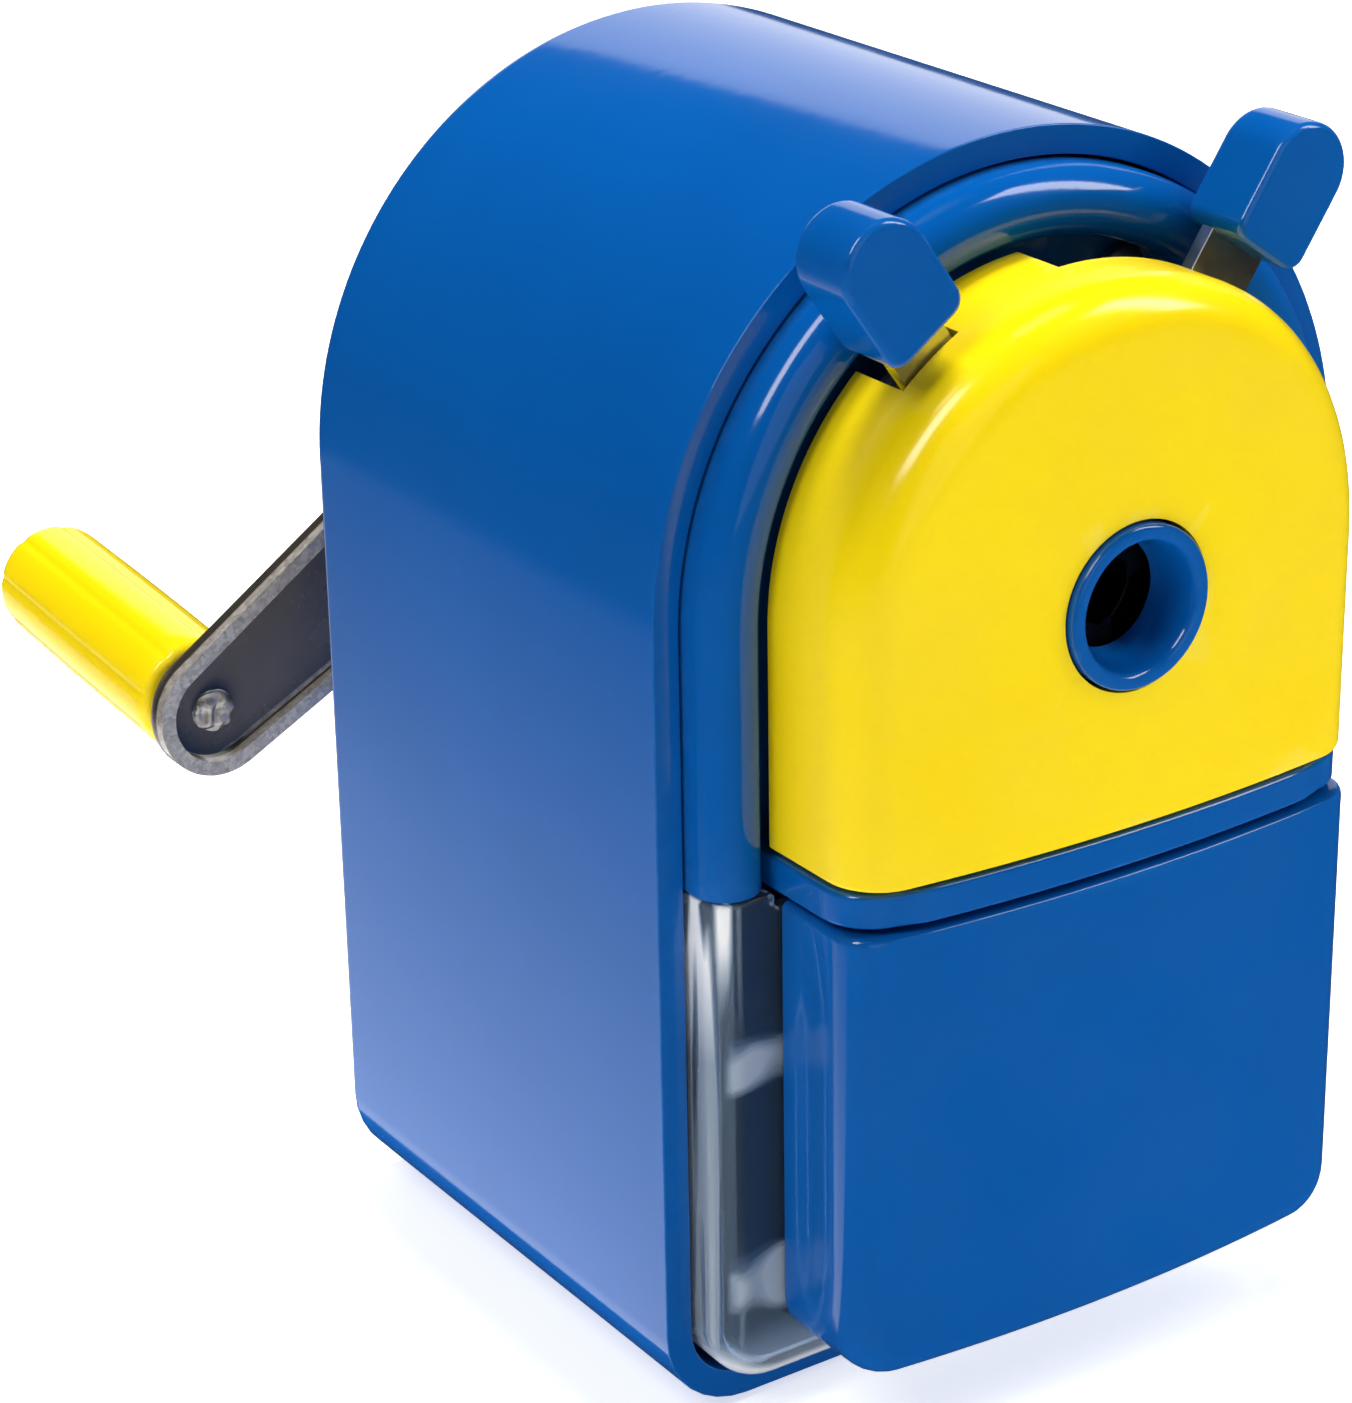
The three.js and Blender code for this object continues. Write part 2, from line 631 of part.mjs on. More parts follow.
function addCapScrews() {
  const seat = CARRIAGE_PLATE_BACK + GAP;
  const tip = -12;
  const profile = [
    [0, tip], [CAP_SCREW_RADIUS, tip + 1], [CAP_SCREW_RADIUS, seat], [2.5, seat],
    [2.5, seat + 0.8], [1.6, seat + 1.4], [0, seat + 1.4],
  ];
  for (const [side, [x, z]] of Object.entries(CAP_SCREW_SPOTS)) {
    add(`cap_screw_${side}`, turned(profile, x, z, 14), STEEL);
  }
}

// ---------------------------------------------------------------- pencil chuck

function chuckLever() {
  const { angle, width, front } = RIGHT_LEVER;
  const back = front + LEVER_THICKNESS;
  const half = width / 2;
  const ring = sleeve(0, AXIS_Z, SLEEVE_RADIUS + GAP, CHUCK_RING_OUTER, front, back, 28);
  const strip = block(CHUCK_RING_OUTER - 2, LEVER_END, front, back, AXIS_Z - half, AXIS_Z + half);
  return join(ring, swung(strip, angle));
}

// Jaw along +X from its pin to the pencil, ending in a shallow vee.
function jaw(angle) {
  const tip = JAW_PIN_DISTANCE - JAW_REACH;
  const outline = [
    ...arc(JAW_PIN_DISTANCE, AXIS_Z, JAW_EYE_RADIUS, -130, 130, 10),
    new THREE.Vector2(tip, AXIS_Z + 1.5),
    new THREE.Vector2(tip + 0.8, AXIS_Z),
    new THREE.Vector2(tip, AXIS_Z - 1.5),
  ];
  const eye = circle(JAW_PIN_DISTANCE, AXIS_Z, JAW_PIN_RADIUS + GAP, 14);
  return swung(alongY(shapeOf(outline, eye), JAW_FRONT, JAW_BACK), angle);
}

function jawPin(angle) {
  const wide = 2.2;
  const head = JAW_FRONT - GAP;
  const shoulder = JAW_BACK + GAP;
  const seat = CARRIAGE_PLATE_FRONT - GAP;
  const end = CARRIAGE_PLATE_BACK + 0.4;
  return turned([
    [0, head - 0.8], [wide, head - 0.8], [wide, head], [JAW_PIN_RADIUS, head],
    [JAW_PIN_RADIUS, shoulder], [wide, shoulder], [wide, seat], [JAW_PIN_RADIUS, seat],
    [JAW_PIN_RADIUS, end], [0, end],
  ], ...polar(JAW_PIN_DISTANCE, angle), 14);
}

function addCarriage() {
  add('front_cap', frontCap(), YELLOW);
  add('hole_ring', holeRing(), BLUE);
  add('carriage_plate', carriagePlate(), STEEL);
  add('left_tab', tab(LEFT_LEVER), BLUE);
  addCapScrews();
  addGuideRods();
  const sleeveBore = PENCIL_HOLE_RADIUS + 0.2;
  const sleeveRim = SLEEVE_RADIUS + 1.4;
  const sleeveFront = -9.5;
  const leverSeat = RIGHT_LEVER.front - GAP;
  const sleeveBack = CARRIAGE_PLATE_FRONT - GAP;
  add('chuck_sleeve', turned([
    [sleeveBore, sleeveFront], [sleeveRim, sleeveFront], [sleeveRim, leverSeat],
    [SLEEVE_RADIUS, leverSeat], [SLEEVE_RADIUS, sleeveBack], [sleeveBore, sleeveBack],
  ]), BRASS);
  add('chuck_lever', chuckLever(), STEEL);
  add('right_tab', tab(RIGHT_LEVER), BLUE);
  JAW_ANGLES.forEach((angle, i) => {
    add(`chuck_jaw_${i + 1}`, jaw(angle), TOOL_STEEL);
    add(`jaw_pin_${i + 1}`, jawPin(angle), STEEL);
  });
}

// ---------------------------------------------------------------- cutter, its carrier and the crank

// Places a geometry made about local Y = 0 on the tilted cutter axis, above the crank axis.
function onCutterAxis(geometry) {
  geometry.rotateX(-radians(CUTTER_TILT));
  geometry.translate(0, GEAR_Y, AXIS_Z + GEAR_CENTRES);
  return geometry;
}

function helicalCutter() {
  const flutes = 10;
  const tooth = [[CUTTER_RADIUS, 0], [CUTTER_RADIUS, 0.12], [CUTTER_RADIUS - 1.4, 0.5]];
  const outline = [];
  for (let i = 0; i < flutes; i += 1) {
    for (const [radius, share] of tooth) {
      outline.push(new THREE.Vector2(...polar(radius, 360 * (i + share) / flutes, 0)));
    }
  }
  const shape = shapeOf(outline, circle(0, 0, AXLE_RADIUS + GAP, 10));
  const geometry = new THREE.ExtrudeGeometry(shape, {
    depth: CUTTER_NEAR - CUTTER_FAR,
    steps: 7,
    bevelEnabled: false,
  });
  const twistPerMillimetre = radians(2.4);
  const corner = geometry.attributes.position;
  const point = new THREE.Vector3();
  const axis = new THREE.Vector3(0, 0, 1);
  for (let i = 0; i < corner.count; i += 1) {
    point.fromBufferAttribute(corner, i);
    point.applyAxisAngle(axis, point.z * twistPerMillimetre);
    corner.setXYZ(i, point.x, point.y, point.z);
  }
  geometry.rotateX(Math.PI / 2);
  geometry.translate(0, CUTTER_NEAR, 0);
  return onCutterAxis(geometry);
}

// Pinion with one tooth pointing straight out, into the ring gear's gap.
function cutterPinion() {
  const pitch = 360 / PINION_TEETH;
  const pitchRadius = GEAR_MODULE * PINION_TEETH / 2;
  const root = pitchRadius - 1.15;
  const tip = pitchRadius + 0.5;
  const outline = [];
  for (let i = 0; i < PINION_TEETH; i += 1) {
    const middle = 90 + i * pitch;
    outline.push([root, middle - 0.3 * pitch], [tip, middle - 0.12 * pitch]);
    outline.push([tip, middle + 0.12 * pitch], [root, middle + 0.3 * pitch]);
  }
  const points = outline.map(([radius, angle]) => new THREE.Vector2(...polar(radius, angle, 0)));
  const halfWidth = 1.8;
  const section = shapeOf(points, circle(0, 0, AXLE_RADIUS + GAP, 12));
  return onCutterAxis(alongY(section, -halfWidth, halfWidth));
}

function cutterAxle(radius, far, near) {
  return onCutterAxis(rod(0, 0, radius, far, near, 14));
}

// Cradle that turns with the crank: nose tube, front plate, open trough and rear disc.
function cutterCarrier() {
  const noseFront = 2.6;
  const plateFront = 12;
  const plateBack = 15.5;
  const discFront = 51.2;
  const discBack = 53.4;
  const troughInner = 7.6;
  const plateMiddle = (plateFront + plateBack) / 2;
  const rise = (GEAR_Y - plateMiddle) * Math.tan(radians(CUTTER_TILT));
  const axleHeight = AXIS_Z + GEAR_CENTRES + rise;
  const eye = 4.4;
  const plateOutline = [
    ...arc(0, AXIS_Z, CARRIER_RADIUS, -205, 25, 18),
    ...arc(0, axleHeight, eye, 25, 155, 8),
  ];
  const pieces = [
    rod(0, AXIS_Z, NOSE_TUBE_RADIUS, noseFront, plateFront + 1, 24),
    alongY(shapeOf(plateOutline), plateFront, plateBack),
    alongY(
      shapeOf(sectorPoints(troughInner, CARRIER_RADIUS, -158, -22, 12)),
      plateBack - 1,
      discFront + 1,
    ),
    rod(0, AXIS_Z, CARRIER_RADIUS, discFront, discBack, 28),
  ];
  return cut(
    join(...pieces),
    rod(0, AXIS_Z, PENCIL_HOLE_RADIUS, noseFront - 2, plateBack + 3, 20),
    cutterAxle(AXLE_RADIUS + GAP, -38.5, 5.6),
  );
}

// Outline of the crank arm along +X, as the hull of a hub circle and a pin circle.
function armPoints(inset) {
  const hub = ARM_HUB_RADIUS - inset;
  const end = ARM_PIN_RADIUS - inset;
  const lean = THREE.MathUtils.radToDeg(Math.asin((hub - end) / CRANK_RADIUS));
  return [
    ...arc(0, 0, hub, 90 - lean, 270 + lean, 14),
    ...arc(CRANK_RADIUS, 0, end, -90 + lean, 90 - lean, 12),
  ];
}

// Pressed steel channel, open towards the casing.
function crankArm() {
  const outer = alongY(shapeOf(armPoints(0)), ARM_BACK - 2 * ARM_DEPTH_AT_PIN, ARM_BACK);
  const hollow = alongY(shapeOf(armPoints(SHEET)), 0, ARM_BACK - SHEET);
  const slope = Math.atan((ARM_DEPTH_AT_HUB - ARM_DEPTH_AT_PIN) / CRANK_RADIUS);
  const inFrontOfEdges = block(-FAR, FAR, -FAR, 0, -FAR, FAR);
  inFrontOfEdges.rotateZ(slope);
  inFrontOfEdges.translate(0, ARM_BACK - ARM_DEPTH_AT_HUB, 0);
  const holes = [[0, SHAFT_STUB_RADIUS], [CRANK_RADIUS, PIN_SHANK_RADIUS]].map(([x, radius]) => (
    rod(x, 0, radius + GAP, ARM_BACK - 10, ARM_BACK + 10)
  ));
  const arm = cut(outer, hollow, inFrontOfEdges, ...holes);
  arm.translate(0, 0, AXIS_Z);
  return swung(arm, CRANK_ANGLE);
}

function crankShaft() {
  const start = 53.7;
  const shoulder = 62.8;
  const armSeat = ARM_BACK - SHEET - GAP;
  const end = ARM_BACK + 5.4;
  const chamfer = 0.5;
  return turned([
    [0, start], [SHAFT_RADIUS, start], [SHAFT_RADIUS, shoulder], [SHAFT_SHOULDER_RADIUS, shoulder],
    [SHAFT_SHOULDER_RADIUS, armSeat], [SHAFT_STUB_RADIUS, armSeat],
    [SHAFT_STUB_RADIUS, end - chamfer], [SHAFT_STUB_RADIUS - chamfer, end], [0, end],
  ]);
}

function crankWasher() {
  const seat = ARM_BACK + GAP;
  return sleeve(0, AXIS_Z, SHAFT_STUB_RADIUS + GAP, 6, seat, seat + WASHER_THICKNESS);
}

function crankNut() {
  const seat = ARM_BACK + WASHER_THICKNESS + 2 * GAP;
  const section = shapeOf(circle(0, AXIS_Z, 5.2, 6), circle(0, AXIS_Z, SHAFT_STUB_RADIUS + GAP, 14));
  return alongY(section, seat, seat + 3.2);
}

// Places a geometry made about local Y on the crank pin, from the back of the arm's web.
function onCrankPin(geometry) {
  geometry.rotateZ(radians(PIN_LEAN));
  geometry.translate(CRANK_RADIUS, ARM_BACK, AXIS_Z);
  return swung(geometry, CRANK_ANGLE);
}

function gripPin() {
  const headBack = -SHEET - GAP;
  const headFront = headBack - 0.9;
  const [collarFront, collarBack] = [0.5, 1];
  return onCrankPin(turned([
    [0, headFront], [PIN_HEAD_RADIUS - 0.5, headFront], [PIN_HEAD_RADIUS, headFront + 0.4],
    [PIN_HEAD_RADIUS, headBack], [PIN_SHANK_RADIUS, headBack], [PIN_SHANK_RADIUS, collarFront],
    [3.6, collarFront], [3.6, collarBack], [SPINDLE_RADIUS, collarBack],
    [SPINDLE_RADIUS, SPINDLE_END], [0, SPINDLE_END],
  ], 0, 0, 18));
}

// Handle with eight narrow lengthwise grooves, a round far end and a blind bore.
function grip() {
  const lobes = 8;
  const front = 1.3;
  const groove = GRIP_RADIUS - 0.5;
  const lobe = [[groove, 0], [GRIP_RADIUS, 0.16], [GRIP_RADIUS, 0.5], [GRIP_RADIUS, 0.84]];
  const outline = [];
  for (let i = 0; i < lobes; i += 1) {
    for (const [radius, share] of lobe) {
      outline.push(new THREE.Vector2(...polar(radius, 360 * (i + share) / lobes, 0)));
    }
  }
  const body = alongY(shapeOf(outline), front, front + GRIP_LENGTH, 1.4, 3);
  const bore = rod(0, 0, SPINDLE_RADIUS + GAP, front - 5, SPINDLE_END + 2 * GAP, 18);
  return onCrankPin(cut(body, bore));
}

function addDrive() {
  add('cutter_carrier', cutterCarrier(), ZINC);
  add('cutter_axle', cutterAxle(AXLE_RADIUS, -36.8, 4.6), STEEL);
  add('helical_cutter', helicalCutter(), TOOL_STEEL);
  add('cutter_pinion', cutterPinion(), TOOL_STEEL);
  add('crank_shaft', crankShaft(), STEEL);
  add('crank_arm', crankArm(), CHROME);
  add('crank_washer', crankWasher(), STEEL);
  add('crank_nut', crankNut(), STEEL);
  add('grip_pin', gripPin(), CHROME);
  add('crank_grip', grip(), YELLOW);
}

// ---------------------------------------------------------------- shavings drawer

function drawerFront() {
  const rounding = 2.6;
  const [low, high] = [DRAWER_FRONT_BOTTOM, DRAWER_FRONT_TOP];
  const [innerLow, innerHigh] = [low + NOSE_WALL, high - NOSE_WALL];
  const innerHalf = NOSE_HALF_WIDTH - NOSE_WALL;
  const plan = alongZ(shapeOf(nosePlan(0, DRAWER_FRONT_BACK)), low, high);
  const face = alongY(shapeOf(trayPoints(NOSE_HALF_WIDTH, low, high, 5)), NOSE_FRONT, 12, rounding);
  const hollowPlan = alongZ(shapeOf(nosePlan(NOSE_WALL, 20)), innerLow, innerHigh);
  const hollowFace = alongY(
    shapeOf(trayPoints(innerHalf, innerLow, innerHigh, 4)),
    NOSE_FRONT + NOSE_WALL,
    20,
    rounding,
  );
  return cut(common(plan, face), common(hollowPlan, hollowFace));
}

function drawerBody() {
  const rounding = 2.8;
  const lobeTop = FRAME_BOTTOM - GAP;
  const coverHalf = NOSE_HALF_WIDTH + GAP;
  const blank = alongY(
    shapeOf(trayPoints(TRAY_HALF_WIDTH, TRAY_BOTTOM, lobeTop, 6)),
    BEAD_FRONT,
    TRAY_BACK + 9,
    rounding,
  );
  const inside = alongY(
    shapeOf(trayPoints(TRAY_HALF_WIDTH - TRAY_WALL, TRAY_BOTTOM + TRAY_WALL, FAR, 5)),
    BEAD_FRONT + TRAY_WALL,
    TRAY_BACK - TRAY_WALL,
  );
  return cut(
    blank,
    inside,
    block(-FAR, FAR, TRAY_BACK, FAR, -FAR, FAR),
    block(-FAR, FAR, PLATE_FRONT - 1, FAR, TRAY_TOP, FAR),
    block(-coverHalf, coverHalf, -FAR, FAR, TRAY_TOP, FAR),
  );
}

addCasing();
addCarriage();
addDrive();
add('drawer_body', drawerBody(), CLEAR);
add('drawer_front', drawerFront(), BLUE);

const extent = new THREE.Box3().setFromObject(group);
const middle = extent.getCenter(new THREE.Vector3());
group.position.set(-middle.x, -middle.y, -extent.min.z);

export default group;
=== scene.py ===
import math
from math import cos, pi, radians, sin

import bmesh
import bpy
from mathutils import Matrix, Vector


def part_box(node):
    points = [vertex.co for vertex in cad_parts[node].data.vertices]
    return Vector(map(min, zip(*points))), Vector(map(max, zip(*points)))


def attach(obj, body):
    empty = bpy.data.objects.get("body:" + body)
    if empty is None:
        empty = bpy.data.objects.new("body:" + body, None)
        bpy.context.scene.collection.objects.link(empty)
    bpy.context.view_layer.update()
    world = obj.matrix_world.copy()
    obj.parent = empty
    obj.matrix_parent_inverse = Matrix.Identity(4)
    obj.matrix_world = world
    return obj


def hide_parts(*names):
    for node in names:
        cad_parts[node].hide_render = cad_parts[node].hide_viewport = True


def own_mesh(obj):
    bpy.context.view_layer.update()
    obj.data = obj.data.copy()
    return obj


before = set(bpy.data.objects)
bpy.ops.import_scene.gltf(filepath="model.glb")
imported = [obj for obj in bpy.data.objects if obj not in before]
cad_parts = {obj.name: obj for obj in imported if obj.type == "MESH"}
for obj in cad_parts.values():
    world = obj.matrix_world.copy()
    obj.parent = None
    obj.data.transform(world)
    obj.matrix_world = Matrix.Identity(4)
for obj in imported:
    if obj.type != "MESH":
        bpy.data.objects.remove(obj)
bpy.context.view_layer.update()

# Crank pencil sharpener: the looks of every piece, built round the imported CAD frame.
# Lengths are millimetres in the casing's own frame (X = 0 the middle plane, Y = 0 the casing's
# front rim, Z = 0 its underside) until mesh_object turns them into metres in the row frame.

MM = 0.001
WELD = 0.001 * MM
casing_low, casing_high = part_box("housing_shell")
ORIGIN = Vector(((casing_low.x + casing_high.x) / 2, casing_low.y, casing_low.z))


def local_box(node):
    """A CAD node's lowest and highest corner in millimetres in the casing's frame."""
    low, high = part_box(node)
    return (low - ORIGIN) / MM, (high - ORIGIN) / MM


# ---- sizes

_, CASING = local_box("housing_shell")
CASING_HALF, CASING_DEPTH = CASING.x, CASING.y
AXIS_Z = CASING.z - CASING_HALF
CASING_WALL, CASING_CORNER = 2.7, 8.7
CAP_LOW, CAP_HIGH = local_box("front_cap")
NOSE_HALF, NOSE_FRONT = CAP_HIGH.x, CAP_LOW.y
NOSE_BOW, NOSE_WALL = 2.0, 2.0
FRAME_LOW, FRAME_HIGH = local_box("front_frame")
SHELF_TOP = 55.8
BEAD_OUTER, BEAD_INNER = FRAME_HIGH.x, 28.65
BEAD_FRONT, BEAD_BOTTOM = -4.4, 53.0
PLATE_FRONT, PLATE_BACK = 2.0, 5.0
DRAWER_LOW, DRAWER_HIGH = local_box("drawer_front")
TRAY_LOW, TRAY_HIGH = local_box("drawer_body")
TRAY_WALL = 1.8
GAP = 0.3
TAB_INNER, TAB_OUTER, TAB_WIDTH = 32.0, 44.4, 8.8
TAB_AHEAD, TAB_DEPTH = 3.85, 7.3
LEFT_LEVER_ANGLE, LEFT_LEVER_FRONT = 125.1, -9.2
RIGHT_LEVER_ANGLE, RIGHT_LEVER_FRONT = 55.4, -8.2
LEFT_NOTCH, LEFT_NOTCH_BOTTOM = (118.0, 132.2), -9.55
RIGHT_RECESS, RIGHT_RECESS_BOTTOM = (46.0, 94.0), -8.55
RING_RADIUS, RING_FRONT = 7.5, -18.4
CRANK_RADIUS, CRANK_ANGLE = 53.3, -149.0
ARM_BACK, ARM_DEPTH_AT_PIN, ARM_DEPTH_AT_HUB = 69.6, 3.5, 3.0
ARM_HUB_RADIUS, ARM_PIN_RADIUS, SHEET = 9.7, 6.45, 1.5
PIN_LEAN = 3.0
GRIP_RADIUS, GRIP_LENGTH, GRIP_FRONT = 6.15, 37.8, 1.3
CUTTER_TILT = 10.5
GEAR_Y, GEAR_CENTRES = 48.3, 7.0
ROD_X, ROD_Z = 22.0, 62.0

# ---- mesh helpers


def arc(x, y, radius, start, stop, steps):
    """Points along a circle, angles in degrees, both ends included."""
    return [
        (x + radius * cos(radians(start + (stop - start) * i / steps)),
         y + radius * sin(radians(start + (stop - start) * i / steps)))
        for i in range(steps + 1)
    ]


def line(a, b, steps):
    """Points strictly between a and b."""
    return [
        tuple(p + (q - p) * i / steps for p, q in zip(a, b)) for i in range(1, steps)
    ]


def placed(name, data):
    """A new object in the scene."""
    made = bpy.data.objects.new(name, data)
    bpy.context.scene.collection.objects.link(made)
    return made


def mesh_object(name, points, faces):
    """A smooth object from points in millimetres, with its normals outward."""
    mesh = bpy.data.meshes.new(name)
    mesh.from_pydata([ORIGIN + Vector(p) * MM for p in points], [], faces)
    mesh.validate()
    piece = placed(name, mesh)
    bm = bmesh.new()
    bm.from_mesh(mesh)
    bmesh.ops.recalc_face_normals(bm, faces=bm.faces)
    bm.to_mesh(mesh)
    bm.free()
    mesh.shade_smooth()
    return piece


def skin(rings, closed=True, keep=None, cap_last=False, cap_first=False):
    """Points and faces of a sheet through rings of equal length, closed round each ring."""
    count = len(rings[0])
    points = [p for ring in rings for p in ring]
    faces = []
    for j in range(len(rings) - 1):
        for i in range(count if closed else count - 1):
            if keep is None or keep(i, j):
                k = (i + 1) % count
                faces.append((j * count + i, j * count + k, (j + 1) * count + k, (j + 1) * count + i))
    if cap_last:
        faces.append(tuple(range((len(rings) - 1) * count, len(rings) * count)))
    if cap_first:
        faces.append(tuple(reversed(range(count))))
    return points, faces


def solid(rings):
    """Points and faces of a closed form through rings, with both ends filled."""
    return skin(rings, cap_last=True, cap_first=True)


def merged(*parts):
    """Several (points, faces) pairs as one."""
    points, faces = [], []
    for more_points, more_faces in parts:
        start = len(points)
        points += more_points
        faces += [tuple(start + i for i in face) for face in more_faces]
    return points, faces


def modifier(piece, kind, **values):
    """Adds a modifier of this kind with these settings."""
    made = piece.modifiers.new(kind.title(), kind)
    for key, value in values.items():
        setattr(made, key, value)
    return made


def thicken(piece, wall):
    """Gives a sheet its wall, inward."""
    modifier(piece, "SOLIDIFY", thickness=wall * MM, offset=-1, use_even_offset=False,
             use_quality_normals=True)


def round_edges(piece, width, segments=3, limit=35):
    """Rounds the edges sharper than the limit, in degrees."""
    modifier(piece, "BEVEL", width=width * MM, segments=segments, limit_method="ANGLE",
             angle_limit=radians(limit), use_clamp_overlap=True, miter_outer="MITER_ARC")


def bake(piece):
    """Applies the modifiers, so that the piece is a plain mesh with its own normals."""
    graph = bpy.context.evaluated_depsgraph_get()
    mesh = bpy.data.meshes.new_from_object(piece.evaluated_get(graph))
    piece.modifiers.clear()
    piece.data = mesh
    return piece


def finish_piece(piece, body, slot, *nodes, smooth=35, look=None):
    """Shades by angle, weights the normals, and hands the piece to its body and material slot."""
    bake(piece)
    piece.data.shade_smooth()
    mark_sharp(piece.data, smooth)
    modifier(piece, "WEIGHTED_NORMAL", keep_sharp=True, weight=60)
    piece.data.materials.clear()
    piece.data.materials.append(MATERIALS[look or slot])
    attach(piece, body)
    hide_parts(*nodes)
    return piece


def mark_sharp(mesh, degrees):
    """Marks as sharp every edge whose two faces meet at this angle or more."""
    bm = bmesh.new()
    bm.from_mesh(mesh)
    for edge in bm.edges:
        edge.smooth = not edge.is_manifold or edge.calc_face_angle() < radians(degrees)
    bm.to_mesh(mesh)
    bm.free()


def about(base, axis, side, turn, radius, station):
    """The point at a turn in radians from a side, at a radius and a station on a line's axis."""
    spoke = side * cos(turn) + axis.cross(side) * sin(turn)
    return tuple(base + axis * station + spoke * radius)


def lathe(profile, base, direction, segments=96):
    """Spins (radius, station) pairs about a line; profile ends on the axis or closes on itself."""
    on_axis = 1e-6
    axis = Vector(direction).normalized()
    side = axis.orthogonal().normalized()
    base = Vector(base)
    points, columns = [], []
    for radius, station in profile:
        if radius < on_axis:
            columns.append([len(points)])
            points.append(base + axis * station)
            continue
        columns.append(list(range(len(points), len(points) + segments)))
        points += [about(base, axis, side, 2 * pi * i / segments, radius, station) for i in range(segments)]
    faces = []
    pairs = list(zip(columns, columns[1:]))
    if profile[0][0] > on_axis:
        pairs.append((columns[-1], columns[0]))
    for a, b in pairs:
        for i in range(segments):
            k = (i + 1) % segments
            if len(a) == 1 and len(b) == 1:
                continue
            if len(a) == 1:
                faces.append((a[0], b[k], b[i]))
            elif len(b) == 1:
                faces.append((a[i], a[k], b[0]))
            else:
                faces.append((a[i], a[k], b[k], b[i]))
    return points, faces


def softened(profile, radius, loop):
    """Rounds the corners of a lathe profile; each rounding takes at most 0.45 of its sides."""
    share, least_turn, steps = 0.45, radians(12), 4
    out = []
    count = len(profile)
    for i, corner in enumerate(profile):
        if not loop and i in (0, count - 1):
            out.append(corner)
            continue
        here = Vector(corner)
        before = Vector(profile[i - 1]) - here
        after = Vector(profile[(i + 1) % count]) - here
        turn = pi - before.angle(after, pi)
        if turn < least_turn:
            out.append(corner)
            continue
        reach = min(radius, share * before.length, share * after.length)
        start, stop = here + before.normalized() * reach, here + after.normalized() * reach
        for step in range(steps + 1):
            t = step / steps
            p = start * (1 - t) ** 2 + here * (2 * t * (1 - t)) + stop * t ** 2
            out.append((p.x, p.y))
    return out


def meridian(node, base, direction):
    """(radius, station) profile of a turned CAD node, walked along one of its meridians."""
    on_axis, half_width = 0.01, 0.4
    axis = Vector(direction).normalized()
    side = axis.orthogonal().normalized()
    other = axis.cross(side)
    bm = bmesh.new()
    bm.from_mesh(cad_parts[node].data)
    bmesh.ops.remove_doubles(bm, verts=bm.verts, dist=WELD)
    place = {}
    for vert in bm.verts:
        arm = (vert.co - ORIGIN) / MM - Vector(base)
        station = arm.dot(axis)
        spoke = arm - axis * station
        turn = math.degrees(math.atan2(spoke.dot(other), spoke.dot(side)))
        place[vert] = (spoke.length, station, turn)
    widest = max(place.values())
    near = {
        v for v, (r, _, turn) in place.items()
        if r < on_axis or abs((turn - widest[2] + 180) % 360 - 180) < half_width
    }
    links = {v: [e.other_vert(v) for e in v.link_edges if e.other_vert(v) in near] for v in near}
    ends = [v for v in near if place[v][0] < on_axis]
    start = min(ends or near, key=lambda v: (place[v][1], place[v][0]))
    chain, here, last = [start], start, None
    while True:
        onward = [v for v in links[here] if v is not last and v not in chain]
        if not onward:
            break
        step = min(onward, key=lambda v: (v.co - here.co).length)
        chain.append(step)
        here, last = step, here
    profile = [(0.0 if place[v][0] < on_axis else place[v][0], place[v][1]) for v in chain]
    bm.free()
    return profile


# ---- materials

MATERIALS = {}


